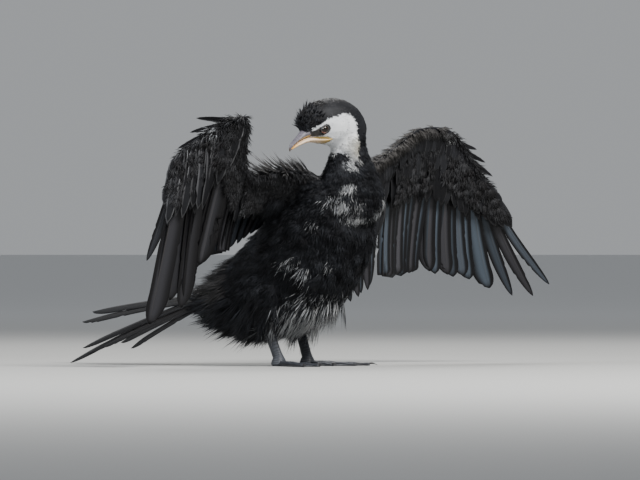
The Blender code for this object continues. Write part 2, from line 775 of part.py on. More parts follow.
def make_tail(torso):
    """A stump with twelve stiff feathers, the middle ones on top."""
    ahead = (mm(-8, 270, 25) - TAIL_ROOT).normalized()
    upper = TAIL_ACROSS.cross(ahead).normalized()
    finish = material("flight_feathers", PLUMAGE, 0.5)
    feathers = []
    for number, tip in enumerate(TAIL_TIPS):
        from_middle = abs(number - (len(TAIL_TIPS) - 1) / 2)
        height = (TAIL_TOP - from_middle * TAIL_STEP) * MM
        root = tail_feather_root(number) + upper * height
        tilt = -TAIL_TILT if number < len(TAIL_TIPS) / 2 else TAIL_TILT
        feathers.append(
            vane("tail_vane", root, tip, upper, TAIL_HALF_WIDTH, finish, tilt=tilt, bow=0.01, thick=1.2)
        )
    stump = []
    for back, wide, deep in STUMP_SECTIONS:
        centre = TAIL_ROOT + ahead * back * MM
        stump.append(oval(centre, TAIL_ACROSS * wide * MM, upper * deep * MM, -upper * deep * MM, 12))
    tail = loft("tail", stump, finish)
    fuse(tail, feathers)
    cut_clear(tail, torso)
    # The longest feather rests on the floor on a small flat.
    under = mm(-30, 270, -5)
    square = ((-40, -40), (40, -40), (40, 40), (-40, 40))
    floor = [[under + mm(x, y, z) for x, y in square] for z in (-20, 5)]
    apply_boolean(tail, "DIFFERENCE", [loft("floor", floor, finish, HELPERS)])
    return tail


torso = make_torso()
head = make_head()
eyes = make_eyes(head)
bill = make_bill(head)
neck = make_neck(torso, head)
tail = make_tail(torso)
for side, sign in (("left", 1), ("right", -1)):
    thigh = make_thigh(side, sign, torso)
    shank = make_shank(side, sign, thigh)
    make_foot(side, sign, shank)
for wing in (LEFT_WING, RIGHT_WING):
    make_wing(wing, torso)

# Everything hangs on one empty that centres the bird above the origin.
corners = [p.co for piece in BIRD.objects for p in piece.data.vertices]
low = Vector([min(c[i] for c in corners) for i in range(3)])
high = Vector([max(c[i] for c in corners) for i in range(3)])
stance = bpy.data.objects.new("stance", None)
BIRD.objects.link(stance)
stance.location = (-(low.x + high.x) / 2, -(low.y + high.y) / 2, -low.z)
for piece in BIRD.objects:
    if piece is not stance:
        piece.parent = stance
        shade(piece)
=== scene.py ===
import math

import bmesh
import bpy
import numpy as np
from mathutils import Matrix, Vector
from mathutils.bvhtree import BVHTree


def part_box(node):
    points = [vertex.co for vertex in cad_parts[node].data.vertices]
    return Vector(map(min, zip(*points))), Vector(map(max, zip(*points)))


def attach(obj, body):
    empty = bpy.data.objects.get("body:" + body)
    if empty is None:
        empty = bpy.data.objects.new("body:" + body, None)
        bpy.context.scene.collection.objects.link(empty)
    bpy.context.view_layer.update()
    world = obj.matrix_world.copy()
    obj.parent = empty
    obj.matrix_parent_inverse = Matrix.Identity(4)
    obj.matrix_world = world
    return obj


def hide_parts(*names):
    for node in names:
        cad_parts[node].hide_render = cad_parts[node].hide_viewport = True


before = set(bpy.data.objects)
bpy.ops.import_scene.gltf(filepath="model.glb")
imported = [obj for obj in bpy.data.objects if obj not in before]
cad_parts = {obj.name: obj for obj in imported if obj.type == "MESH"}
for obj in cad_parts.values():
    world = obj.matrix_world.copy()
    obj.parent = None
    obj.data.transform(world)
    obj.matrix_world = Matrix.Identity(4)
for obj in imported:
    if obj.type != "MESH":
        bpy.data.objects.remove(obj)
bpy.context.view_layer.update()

# The stance of the bird. All places below are in millimetres from the floor under the middle of the
# stance, as the solids' own sizes are, and the left eye shows where that is in the frame. The head
# has its own frame: forward along the bill, up, and out to the bird's left.
MM = 0.001
HEAD_TURN = math.radians(110)
HEAD_DIP = math.radians(20)
EYE_RADIUS = 4.6
EYE_AT = (1.6, -3.9, 13.5)  # forward, up and out
TO_HEAD = Matrix.Rotation(-HEAD_TURN, 3, "Z")
HEAD_FORWARD = TO_HEAD @ Vector((0, -math.cos(HEAD_DIP), -math.sin(HEAD_DIP)))
HEAD_LEFT = TO_HEAD @ Vector((1, 0, 0))
HEAD_UP = HEAD_FORWARD.cross(HEAD_LEFT)
HEAD_PLACE = (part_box("eye_left")[0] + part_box("eye_left")[1]) / 2
for way, far in zip((HEAD_FORWARD, HEAD_UP, HEAD_LEFT), EYE_AT):
    HEAD_PLACE -= way * far * MM
STANCE = HEAD_PLACE - Vector((-38, -52, 252)) * MM


def at(x, y, z):
    """A place in the frame, from millimetres in the stance."""
    return STANCE + Vector((x, y, z)) * MM


def in_head(forward, up, out=0.0):
    """A place in the frame, from millimetres in the head's own frame."""
    return HEAD_PLACE + (HEAD_FORWARD * forward + HEAD_UP * up + HEAD_LEFT * out) * MM


# The camera stands level with the bird's breast, eight metres away, and sees it from its right front.
VIEW_AZIMUTH = math.radians(-55)
VIEW_DISTANCE = 8.0
VIEW_WIDTH = 0.672  # of the picture, at the bird
VIEW_RIGHT, VIEW_HEIGHT = 24.15, 132.3  # from the stance to the picture's middle
SENSOR = 36.0


def linked(name, data):
    """A new object in the scene."""
    made = bpy.data.objects.new(name, data)
    bpy.context.scene.collection.objects.link(made)
    return made


view_back = Vector((math.sin(VIEW_AZIMUTH), -math.cos(VIEW_AZIMUTH), 0))
view_right = Vector((math.cos(VIEW_AZIMUTH), math.sin(VIEW_AZIMUTH), 0))
camera = linked("camera", bpy.data.cameras.new("camera"))
camera.data.sensor_width = SENSOR
camera.data.lens = SENSOR * VIEW_DISTANCE / VIEW_WIDTH
camera.data.clip_end = 500
camera.location = at(0, 0, VIEW_HEIGHT) + view_right * VIEW_RIGHT * MM + view_back * VIEW_DISTANCE
camera.rotation_euler = (-view_back).to_track_quat("-Z", "Y").to_euler()
bpy.context.scene.camera = camera


# Light and floor. A broad soft key from the upper right of the picture, a fill from the left, a high
# light behind for the feathers' edges, and a pale even surround over a matt floor that is painted darker
# near the bird and lighter far off: painted light that makes up for the lamps' light falling off.
BREAST = at(0, 0, 140)


def softbox(name, azimuth, height, distance, size, power, colour):
    """A square light that looks at the bird's breast. The azimuth is in degrees, as the camera's."""
    turn = math.radians(azimuth)
    place = BREAST + Vector((math.sin(turn), -math.cos(turn), 0)) * distance + Vector((0, 0, height))
    light = linked(name, bpy.data.lights.new(name, "AREA"))
    light.data.shape = "SQUARE"
    light.data.size = size
    light.data.energy = power
    light.data.color = colour
    light.location = place
    light.rotation_euler = (BREAST - place).to_track_quat("-Z", "Y").to_euler()


softbox("key", -15, 1.6, 1.7, 0.9, 105, (1.0, 0.99, 0.97))
softbox("fill", -110, 0.9, 1.9, 1.0, 30, (0.93, 0.96, 1.0))
softbox("rim", 125, 1.6, 1.5, 0.9, 28, (1.0, 0.99, 0.97))
world = bpy.data.worlds.new("surround")
world.use_nodes = True
world.node_tree.nodes["Background"].inputs["Color"].default_value = (0.86, 0.89, 0.92, 1)
world.node_tree.nodes["Background"].inputs["Strength"].default_value = 0.42
bpy.context.scene.world = world

bpy.ops.object.select_all(action="DESELECT")
bpy.ops.mesh.primitive_circle_add(vertices=64, radius=60, fill_type="NGON", location=(0, 0, 0))
floor = bpy.context.object
floor.name = "floor"


class Socket:
    """A value in a shader: sums and products of it add the nodes that work them out."""

    def __init__(self, shader, link):
        self.shader, self.link = shader, link

    def math(self, operation, *others):
        return self.shader.node(
            "ShaderNodeMath", {"operation": operation}, dict(enumerate((self, *others))),
        )

    def __add__(self, other):
        return self.math("ADD", other)

    def __sub__(self, other):
        return self.math("SUBTRACT", other)

    def __mul__(self, other):
        return self.math("MULTIPLY", other)

    def __pow__(self, other):
        return self.math("POWER", other)

    def __rsub__(self, other):
        return self * -1 + other

    def clamp(self):
        return self.shader.node("ShaderNodeClamp", {}, {0: self})

    def abs(self):
        return self.math("ABSOLUTE")

    def step(self, low, high):
        """0 below low and 1 above high, smoothly."""
        values = {0: self, 1: low, 2: high, 3: 0.0, 4: 1.0}
        return self.shader.node("ShaderNodeMapRange", {"interpolation_type": "SMOOTHSTEP"}, values)


class Finish:
    """A Principled material under construction."""

    def __init__(self, name, roughness=0.5, specular=0.5):
        self.material = bpy.data.materials.new(name)
        self.material.use_nodes = True
        self.tree = self.material.node_tree
        self.shader = self.tree.nodes["Principled BSDF"]
        self.shader.inputs["Roughness"].default_value = roughness
        self.shader.inputs["Specular IOR Level"].default_value = specular

    def node(self, kind, settings, values, output=0):
        made = self.tree.nodes.new(kind)
        for key, value in settings.items():
            setattr(made, key, value)
        for key, value in values.items():
            if isinstance(value, Socket):
                self.tree.links.new(value.link, made.inputs[key])
            else:
                made.inputs[key].default_value = value
        return Socket(self, made.outputs[output])

    def place(self):
        return self.node("ShaderNodeTexCoord", {}, {}, "Object")

    def attribute(self, name):
        return self.node("ShaderNodeAttribute", {"attribute_name": name}, {}, "Fac")

    def chart(self, name):
        """The two coordinates of a UV map."""
        chart = self.node("ShaderNodeUVMap", {"uv_map": name}, {})
        split = self.node("ShaderNodeSeparateXYZ", {}, {0: chart})
        return split, Socket(self, split.link.node.outputs[1])

    def noise(self, scale, detail):
        """Noise in the object's own space. The scale is in cells a metre."""
        values = {"Vector": self.place(), "Scale": scale, "Detail": detail}
        return self.node("ShaderNodeTexNoise", {}, values)

    def mix(self, share, first, second):
        """A colour between two colours."""
        first, second = (one if isinstance(one, Socket) else (*one, 1) for one in (first, second))
        return self.node("ShaderNodeMix", {"data_type": "RGBA"}, {0: share, 6: first, 7: second}, 2)

    def feed(self, socket, value):
        self.tree.links.new(value.link, self.shader.inputs[socket])

    def bump(self, height, strength, distance):
        values = {"Strength": strength, "Distance": distance, "Height": height}
        self.feed("Normal", self.node("ShaderNodeBump", {}, values))


paper = Finish("floor", 0.9, 0.2)
# Painted light: the floor's colour grows lighter with distance from the bird, to even out the lamps' light,
# which falls off away from it.
far_off = paper.node("ShaderNodeVectorMath", {"operation": "LENGTH"}, {0: paper.place()}, "Value")
paper.feed("Base Color", paper.mix(far_off.step(0.5, 6.0), (0.38, 0.38, 0.37), (0.62, 0.63, 0.64)))
floor.data.materials.append(paper.material)


def finished(piece, finish, slot, *nodes):
    """Gives a piece its finish, and has it stand for nodes of the frame."""
    piece.data.materials.clear()
    piece.data.materials.append(finish.material)
    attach(piece, "root")
    if nodes:
        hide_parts(*nodes)


# The flesh of the wings, as the solids have it: an oval blade from the shoulder to the end of the hand.
# Front edge, rear edge and thickness of seven sections, from the body outwards, and the tips of the
# flight feathers of arm, forearm and hand.
def along_keys(keys, share):
    """The value at a share, 0 to 1, of the way through keys, on a smooth Catmull-Rom curve."""
    spot = min(max(share, 0.0), 1.0) * (len(keys) - 1)
    first = min(int(spot), len(keys) - 2)
    t = spot - first
    before, start, end = keys[max(first - 1, 0)], keys[first], keys[first + 1]
    after = keys[min(first + 2, len(keys) - 1)]
    return (
        start * 2
        + (end - before) * t
        + (before * 2 - start * 5 + end * 4 - after) * t**2
        + (start * 3 - before - end * 3 + after) * t**3
    ) * 0.5


SPAN_STEP = 0.04  # either way along the wing, where its own direction is measured
QUILL_STEP = 0.07  # either way along a row of flight feathers, the same


class Wing:
    def __init__(self, side, sign, lead, trail, thick, tips):
        self.side, self.sign, self.thick = side, sign, thick
        self.lead = [at(*p) for p in lead]
        self.trail = [at(*p) for p in trail]
        self.tips = {part: [at(*p) for p in row] for part, row in tips.items()}

    def section(self, share):
        """Front edge, rear edge, half thickness and upper side, at a share of the whole wing's length."""
        lead, trail = along_keys(self.lead, share), along_keys(self.trail, share)
        span = along_keys(self.lead, share + SPAN_STEP) + along_keys(self.trail, share + SPAN_STEP)
        span -= along_keys(self.lead, share - SPAN_STEP) + along_keys(self.trail, share - SPAN_STEP)
        upper = span.normalized().cross((trail - lead).normalized()).normalized() * self.sign
        return lead, trail, along_keys(self.thick, share) * MM / 2, upper

    def quill(self, part, share, ahead=0.35):
        """Root, tip and upper side of a flight feather at a share of the row of its part. The root is as far
        ahead of the rear edge as is said, as a share of the flesh's breadth."""
        first, last = {"arm": (0.06, 0.30), "forearm": (0.36, 0.64), "hand": (0.67, 0.985)}[part]

        def ends(at_share):
            lead, trail, _, _ = self.section(first + (last - first) * at_share)
            return trail.lerp(lead, ahead), along_keys(self.tips[part], at_share)

        root, tip = ends(share)
        far, near = ends(min(share + QUILL_STEP, 1)), ends(max(share - QUILL_STEP, 0))
        span = far[0] + far[1] - near[0] - near[1]
        return root, tip, span.cross(tip - root).normalized() * self.sign


left_wing = Wing(
    "left", 1,
    lead=(
        (18, -40, 200), (62, -52, 212), (110, -54, 235), (160, -50, 253), (211, -56, 250), (249, -60, 216),
        (277, -65, 187),
    ),
    trail=(
        (24, 12, 165), (62, -8, 172), (120, -28, 188), (158, -30, 214), (196, -36, 224), (232, -46, 205),
        (267, -60, 181),
    ),
    thick=(30, 22, 14, 12, 11, 8, 5),
    tips={
        "hand": (
            (222, -17, 95), (229, -20, 92), (246, -25, 91), (253, -27, 89), (268, -31, 90), (276, -33, 86),
            (302, -42, 77), (330, -53, 70), (356, -63, 70), (374, -72, 83),
        ),
        "forearm": (
            (158, -5, 91), (165, -5, 89), (170, -5, 88), (181, -5, 92), (185, -5, 90), (189, -6, 92),
            (198, -7, 93), (202, -8, 94),
        ),
        "arm": ((72, -14, 66), (80, -14, 65), (94, -14, 70), (98, -14, 74), (112, -13, 77), (117, -12, 82)),
    },
)
right_wing = Wing(
    "right", -1,
    lead=(
        (-18, -40, 200), (-68, -34, 205), (-108, -17, 204), (-128, -28, 232), (-151, -42, 262),
        (-176, -6, 245), (-193, 20, 218),
    ),
    trail=(
        (-24, 12, 165), (-70, 6, 168), (-115, 2, 177), (-138, -11, 214), (-156, -27, 244), (-172, -4, 226),
        (-190, 18, 208),
    ),
    thick=(30, 22, 14, 11, 11, 8, 5),
    tips={
        "hand": (
            (-134, 30, 103), (-137, 33, 100), (-140, 36, 97), (-143, 38, 90), (-145, 39, 65),
            (-152, 41, 58), (-168, 44, 66), (-184, 49, 52), (-194.6, 51, 41.5), (-198, 51, 109),
        ),
        "forearm": (
            (-108, 22, 116), (-113, 24, 115), (-117, 27, 113), (-121, 30, 112), (-125, 33, 111),
            (-129, 36, 111), (-133, 39, 111), (-136, 44, 112),
        ),
        "arm": (
            (-50, 20, 140), (-57, 21, 136), (-66, 23, 131), (-78, 22, 126), (-91, 22, 122), (-103, 23, 118),
        ),
    },
)


# The skin. One closed sheet from the bill's root to the ends of thighs and wings, made of the solids of
# head, neck, torso and thighs and of the flesh of the wings, melted together and drawn in by the depth
# of the plumage over it, which is least on the face and most on the flanks and belly.
def piece_from(form, name):
    """A smooth piece with the faces of a form, all of them outwards."""
    bmesh.ops.recalc_face_normals(form, faces=form.faces)
    mesh = bpy.data.meshes.new(name)
    form.to_mesh(mesh)
    form.free()
    mesh.shade_smooth()
    return linked(name, mesh)


def loft(name, rings):
    """A closed form over rings of like numbers of points, with a chart named form: round it, and along it."""
    count = len(rings[0])
    form = bmesh.new()
    rows = [[form.verts.new(p) for p in ring] for ring in rings]
    chart = form.loops.layers.uv.new("form")
    for level in range(len(rings) - 1):
        for i in range(count):
            j = (i + 1) % count
            face = form.faces.new((rows[level][i], rows[level][j], rows[level + 1][j], rows[level + 1][i]))
            corners = ((i, level), (i + 1, level), (i + 1, level + 1), (i, level + 1))
            for loop, (a, b) in zip(face.loops, corners):
                loop[chart].uv = (a / count, b / (len(rings) - 1))
    for row, share in ((rows[0], 0.0), (rows[-1], 1.0)):
        for loop in form.faces.new(row).loops:
            loop[chart].uv = (0.5, share)
    return piece_from(form, name)


def oval(centre, side, up, low, corners):
    """A ring of points: as wide as side, as high as up and as deep as low."""
    ring = []
    for i in range(corners):
        angle = 2 * math.pi * i / corners
        rise = (up if math.sin(angle) > 0 else low) * abs(math.sin(angle))
        ring.append(centre + side * math.cos(angle) + rise)
    return ring


WING_RINGS = 43
MELT = 0.4  # how far the solids grow before they melt together


def wing_flesh(wing):
    rings = []
    for i in range(WING_RINGS):
        lead, trail, half, upper = wing.section(i / (WING_RINGS - 1))
        rings.append(oval(lead.lerp(trail, 0.5), (trail - lead) / 2, upper * half, -upper * half, 16))
    return loft(f"flesh_{wing.side}", rings)


def merged_copy(node):
    """A copy of a node of the frame as one joined surface."""
    piece = linked(node + "_form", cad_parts[node].data.copy())
    form = bmesh.new()
    form.from_mesh(piece.data)
    bmesh.ops.remove_doubles(form, verts=form.verts, dist=1e-5)
    form.normal_update()
    for vert in form.verts:
        vert.co += vert.normal * MELT * MM
    form.to_mesh(piece.data)
    form.free()
    return piece


def modified(piece, kind, **settings):
    """Adds a modifier and applies it."""
    selected(piece)
    step = piece.modifiers.new(kind.lower(), kind)
    for key, value in settings.items():
        setattr(step, key, value)
    bpy.ops.object.modifier_apply(modifier=step.name)


def selected(*pieces):
    """Selects these pieces alone, the first as the active one."""
    bpy.ops.object.select_all(action="DESELECT")
    for piece in pieces:
        piece.select_set(True)
    bpy.context.view_layer.objects.active = pieces[0]


def tree_of(mesh):
    """What finds the nearest place on a mesh."""
    form = bmesh.new()
    form.from_mesh(mesh)
    tree = BVHTree.FromBMesh(form)
    form.free()
    return tree


VOXEL = 1.8 * MM
FLESH = {  # the depth of the coat over each, in millimetres
    "head": 1.0, "neck": 2.6, "torso": 4.2, "thigh_left": 3.2, "thigh_right": 3.2, "wing_left": 1.6,
    "wing_right": 1.6,
}
sources = [merged_copy(node) for node in ("head", "neck", "torso", "thigh_left", "thigh_right")]
sources += [wing_flesh(left_wing), wing_flesh(right_wing)]
trees = [tree_of(source.data) for source in sources]
for source in sources:
    source.data.materials.clear()
selected(*sources)
bpy.ops.object.join()
skin = bpy.context.object
skin.name = skin.data.name = "skin"
modified(skin, "REMESH", mode="VOXEL", voxel_size=VOXEL, use_smooth_shade=True)
modified(skin, "SMOOTH", factor=0.5, iterations=5)


def read(items, field, width, kind=np.float64):
    """A field of all items as an array, with so many values for each."""
    values = np.zeros(len(items) * width, kind)
    items.foreach_get(field, values)
    return values.reshape(-1, width) if width > 1 else values


def unit(vectors):
    return vectors / np.maximum(np.linalg.norm(vectors, axis=-1, keepdims=True), 1e-12)


skin_points = read(skin.data.vertices, "co", 3)
skin_normals = read(skin.data.vertices, "normal", 3)
skin_edges = read(skin.data.edges, "vertices", 2, np.int32)
gaps = np.array([[tree.find_nearest(p)[3] for tree in trees] for p in skin_points])
skin_region = gaps.argmin(axis=1)  # in the order of FLESH


def spread_out(values, rounds):
    """Values at the skin's points, evened out with their neighbours'."""
    values = np.array(values, float)
    near = np.bincount(skin_edges.ravel(), minlength=len(values))
    for _ in range(rounds):
        total = np.zeros_like(values)
        np.add.at(total, skin_edges[:, 0], values[skin_edges[:, 1]])
        np.add.at(total, skin_edges[:, 1], values[skin_edges[:, 0]])
        share = total / (near if values.ndim == 1 else near[:, None])
        values = 0.4 * values + 0.6 * share
    return values


skin_depth = spread_out(np.array(list(FLESH.values()))[skin_region], 12) * MM
skin_points = skin_points - skin_normals * skin_depth[:, None]
skin.data.vertices.foreach_set("co", skin_points.ravel())
skin.data.update()
bpy.ops.object.mode_set(mode="EDIT")
bpy.ops.mesh.select_all(action="SELECT")
bpy.ops.uv.smart_project(angle_limit=math.radians(66), island_margin=0.004)
bpy.ops.object.mode_set(mode="OBJECT")
skin.data.uv_layers.active.name = "OFBake"
skin_normals = read(skin.data.vertices, "normal", 3)


# The lie of the plumage. A feather points the way that these places say, the nearest most: from the
# bill back over the head, down the neck, and from the breast back to the tail. On the wings the small
# feathers lie as the flight feathers under them do.
COMB = [  # where on the body, and which way the feathers there point
    (at(-6, -84, 228), (0.0, -0.1, -1)), (at(16, -62, 228), (0.1, 0.1, -1)),
    (at(-6, -42, 226), (0, 0.2, -1)), (at(-2, -100, 190), (0.0, -0.25, -1)),
    (at(34, -72, 190), (0.15, 0.1, -1)), (at(-38, -72, 190), (-0.15, 0.1, -1)),
    (at(0, -98, 160), (0, 0.1, -1)), (at(0, -88, 125), (0, 0.3, -1)), (at(45, -55, 140), (0.0, 0.35, -1)),
    (at(-45, -55, 140), (0.0, 0.35, -1)), (at(0, -66, 80), (0, 0.6, -0.8)), (at(0, -16, 41), (0, 1, -0.55)),
    (at(0, 60, 32), (0, 1, -0.3)), (at(0, 98, 45), (0, 1, 0.0)), (at(56, -5, 110), (0, 0.75, -0.7)),
    (at(-56, -5, 110), (0, 0.75, -0.7)), (at(50, 50, 75), (0, 0.85, -0.55)),
    (at(-50, 50, 75), (0, 0.85, -0.55)), (at(30, -40, 196), (0.1, 0.9, -0.2)),
    (at(-30, -40, 196), (-0.1, 0.9, -0.2)), (at(0, -38, 204), (0, 0.9, -0.1)),
    (at(0, 15, 167), (0, 0.8, -0.6)), (at(0, 77, 111), (0, 0.85, -0.6)), (at(0, 110, 85), (0, 0.95, -0.3)),
    (at(36, 10, 62), (0.05, 0.3, -1)), (at(-36, 10, 62), (-0.05, 0.3, -1)),
]
for forward, up, out, ahead, rise, side in (
    (14, 14, 0, -0.7, 0.7, 0), (4, 24, 0, -1, 0.35, 0), (-18, 24, 0, -1, -0.1, 0),
    (-42, 10, 0, -0.6, -0.8, 0), (-52, -15, 0, -0.2, -1, 0), (10, 8, 9, -1, 0.35, 0.2),
    (0, 6, 15, -1, 0.2, 0.1), (-14, 0, 20, -1, 0.0, 0.1), (-34, -6, 21, -0.9, -0.4, 0),
    (-12, -18, 18, -0.9, -0.45, 0.1), (8, -16, 6, -1, -0.25, 0.1), (-14, -30, 6, -0.6, -0.8, 0),
    (-34, -28, 16, -0.4, -1, 0),
):
    for turn in ((-1, 1) if out else (1,)):
        way = HEAD_FORWARD * ahead + HEAD_UP * rise + HEAD_LEFT * side * turn
        COMB.append((in_head(forward, up, out * turn), tuple(way)))


def lie(points, normals, comb, reach):
    """The way feathers point at places on the skin, in its own surface."""
    places = np.array([tuple(place) for place, _ in comb])
    ways = unit(np.array([way for _, way in comb], float))
    far = np.linalg.norm(points[:, None] - places[None], axis=2)
    weight = np.exp(-((far - far.min(axis=1, keepdims=True)) / reach) ** 2) / (far**2 + 1e-5)
    flow = weight @ ways
    flow -= normals * (flow * normals).sum(axis=1, keepdims=True)
    return unit(flow)


BODY_BLEND, WING_BLEND = 0.03, 0.02  # how far the directions run into each other
skin_lie = lie(skin_points, skin_normals, COMB, BODY_BLEND)
for wing in (left_wing, right_wing):
    comb = []
    for part in ("arm", "forearm", "hand"):
        for share in (0.1, 0.4, 0.7, 1.0):
            root, tip, _ = wing.quill(part, share)
            comb.append((root, tuple((tip - root).normalized())))
    mine = skin_region == list(FLESH).index("wing_" + wing.side)
    skin_lie[mine] = lie(skin_points[mine], skin_normals[mine], comb, WING_BLEND)
skin_lie = spread_out(skin_lie, 6)
skin_lie -= skin_normals * (skin_lie * skin_normals).sum(axis=1, keepdims=True)
skin_lie = unit(skin_lie)


# The markings, alike on skin and feathers: a white face from over the eye to the nape's black stripe
# and down the throat, loose white tufts on the foreneck and breast, and a grizzled lower belly.
FACE_EDGE = (
    (15, -1.6), (9, 0.3), (4, 2.4), (-0.8, 4.3), (-10.7, 4.8), (-23.5, 4.3), (-30.6, 0.2), (-34.2, -8.5),
    (-33.6, -16.6), (-31.3, -24.9), (-27, -50), (30, -50), (22, -8),
)
NECK_AXIS = at(-5, -64, 228)
THROAT_TURN = math.radians(160)
WHITE_TURN = math.radians(94)  # how far round the neck to either side of the throat the white reaches
WHITE_LOW, WHITE_RISE, WHITE_HIGH = 229, 15.5, 246  # its lower edge at the throat, that edge's fall, its top
BELLY_AT, BELLY_SIZE, BELLY_WHITE = (0, -26, 46), (46, 42, 34), 0.82
CREAM_AT, CREAM_SIZE, CREAM_MOST = (-8, -86, 229), (11, 11, 10), 0.75
WHITE_TUFTS = (  # place, width, height, and how full
    ((-23, -84, 212), 7, 5, 1.0), ((-31, -87, 189), 7, 5, 0.95), ((-42, -70, 178), 8, 5, 0.7),
    ((-37, -83, 169), 10, 7, 0.95), ((-24, -96, 169), 8, 6, 0.45), ((-19, -91, 155), 13, 5, 1.0),
    ((9, -99, 163), 9, 6, 0.8), ((17, -94, 174), 6, 8, 0.7), ((-51, -54, 153), 6, 6, 0.6),
    ((-53, -32, 112), 6, 6, 0.6), ((-57, -20, 106), 6, 7, 0.5), ((-48, -42, 100), 6, 6, 0.95),
    ((-36, -66, 108), 7, 6, 0.6), ((-44, -46, 90), 5, 4, 0.5), ((38, -84, 168), 9, 7, 0.8),
    ((46, -45, 100), 7, 7, 0.7), ((30, -92, 186), 6, 6, 0.6), ((52, -20, 110), 6, 7, 0.6),
    ((208, -52, 239), 5, 5, 1.0), ((-168, -12, 244), 5, 5, 1.0),
)


def inside(outline, across, up):
    """Which places lie within an outline, all the way along it."""
    hit = np.zeros(len(across), bool)
    for (a, b), (c, d) in zip(outline, outline[1:] + outline[:1]):
        crossing = (b > up) != (d > up)
        with np.errstate(divide="ignore", invalid="ignore"):
            hit ^= crossing & (across < (c - a) * (up - b) / (d - b) + a)
    return hit


def head_places(points):
    from_head = (points - np.array(HEAD_PLACE)) / MM
    return from_head @ np.array(HEAD_FORWARD), from_head @ np.array(HEAD_UP), from_head @ np.array(HEAD_LEFT)


def whiteness(points, ragged=0.0):
    """How white the plumage is at each place, 0 to 1. The raggedness moves the edges, in millimetres."""
    ragged = np.broadcast_to(ragged, len(points))
    ahead, up, _ = head_places(points + np.outer(ragged, np.array(HEAD_UP)) * MM)
    white = (inside(FACE_EDGE, ahead, up) & (up > -34)).astype(float)
    spot = points - np.array(NECK_AXIS)
    turn = (np.arctan2(spot[:, 1], spot[:, 0]) - THROAT_TURN + math.pi) % (2 * math.pi) - math.pi
    turn = np.abs(turn) / WHITE_TURN
    height = (points[:, 2] - STANCE.z) / MM + ragged
    neck = (height > WHITE_LOW - WHITE_RISE * np.clip(turn, 0, 1) ** 1.5) & (height < WHITE_HIGH)
    neck &= (turn < 1) & (up < -20)
    white = np.maximum(white, neck)
    for place, wide, tall, full in WHITE_TUFTS:
        gap = (points - np.array(at(*place))) / MM
        far = (gap[:, 0] ** 2 + gap[:, 1] ** 2) / wide**2 + gap[:, 2] ** 2 / tall**2
        white = np.maximum(white, full * np.exp(-(far**1.5)))
    low = (points - np.array(at(*BELLY_AT))) / MM / np.array(BELLY_SIZE)
    belly = np.exp(-((low**2).sum(axis=1) ** 2))
    return np.maximum(white, BELLY_WHITE * belly)


LORES = (
    (19, -2.4), (14, -2.5), (6, -1.3), (1.5, 0.7), (-2, 0.2), (-3.8, -2.2), (-4, -5.4), (-1.5, -8.6),
    (4, -10), (9, -8.7), (14, -7.0), (19, -5.5),
)
GAPE = (
    (18, -7.0), (9, -9.6), (4, -11.2), (0, -12.8), (-3.0, -15.2), (-4.6, -17.0), (-3.4, -18.8), (1, -19.6),
    (6, -18.0), (12, -15), (18, -12),
)


def bare(points):
    """Whether a place is on the bare skin from the bill to the eye, or at the corner of the mouth."""
    ahead, up, out = head_places(points)
    return (inside(LORES, ahead, up) | inside(GAPE, ahead, up)) & (np.abs(out) > 3)


def hold(mesh, name, values):
    mesh.attributes.new(name, "FLOAT", "POINT").data.foreach_set("value", np.asarray(values, np.float32))


def creaminess(points):
    """How far the white is stained yellow, at the side of the neck."""
    gap = (points - np.array(at(*CREAM_AT))) / MM / np.array(CREAM_SIZE)
    return CREAM_MOST * np.exp(-(gap**2).sum(axis=1))


plumage = Finish("plumage", 0.55, 0.14)
white_share, tone, dust, along, cream = (
    plumage.attribute(name) for name in ("white", "tone", "dust", "along", "cream")
)
mottle = plumage.noise(60, 4)
black = plumage.mix(dust, (0.0045, 0.0045, 0.0058), (0.060, 0.055, 0.051))
# Painted sheen, partly random tone: a lighter blue-grey stands in for the feathers' gloss, in streaks that
# vary at random from tuft to tuft and grow stronger towards the tips.
painted_gloss = plumage.mix(dust, (0.036, 0.039, 0.046), (0.20, 0.19, 0.18))
black = plumage.mix(((tone * 0.9 + mottle * 0.9 - 0.5) * (along * 0.7 + 0.4)).clamp(), black, painted_gloss)
pale = plumage.mix((tone * 0.8 + mottle * 0.4 - 0.2).clamp(), (0.52, 0.54, 0.57), (0.90, 0.90, 0.89))
pale = plumage.mix(cream, pale, (0.72, 0.66, 0.50))
plumage.feed("Base Color", plumage.mix(white_share, black, pale))
plumage.bump(plumage.noise(900, 2), 0.3, 0.0004)

skin_tree = tree_of(skin.data)
hold(skin.data, "white", whiteness(skin_points) * ~bare(skin_points))
hold(skin.data, "cream", creaminess(skin_points))
for key, value in (("tone", 0.3), ("dust", 0.0), ("along", 0.2)):
    hold(skin.data, key, np.full(len(skin_points), value))
finished(skin, plumage, "plumage", "torso", "neck", "head", "thigh_left", "thigh_right")


# The body feathers. Each is a tuft of a few slender barbs that fan out of one root, lie along the body
# and turn down at the tip, so that the coat is dense below and breaks up at its edge. Small and short on
# the face, longer down the body, and loose round the vent and the thighs.
skin.data.calc_loop_triangles()
skin_tris = read(skin.data.loop_triangles, "vertices", 3, np.int32)
tri_loops = read(skin.data.loop_triangles, "loops", 3, np.int32)
skin_chart = read(skin.data.uv_layers["OFBake"].data, "uv", 2)
MOST_TRIANGLES = 190000
STATIONS = (0.0, 0.5)  # where along a barb its sections are, before the tip
PATCH = 0.0015  # half the size of a barb's place on the chart


def cells_of(places, size, rng):
    """The cells of a grid, laid at random, that places fall into."""
    return np.floor(places / size + rng.random(3)).astype(np.int64)


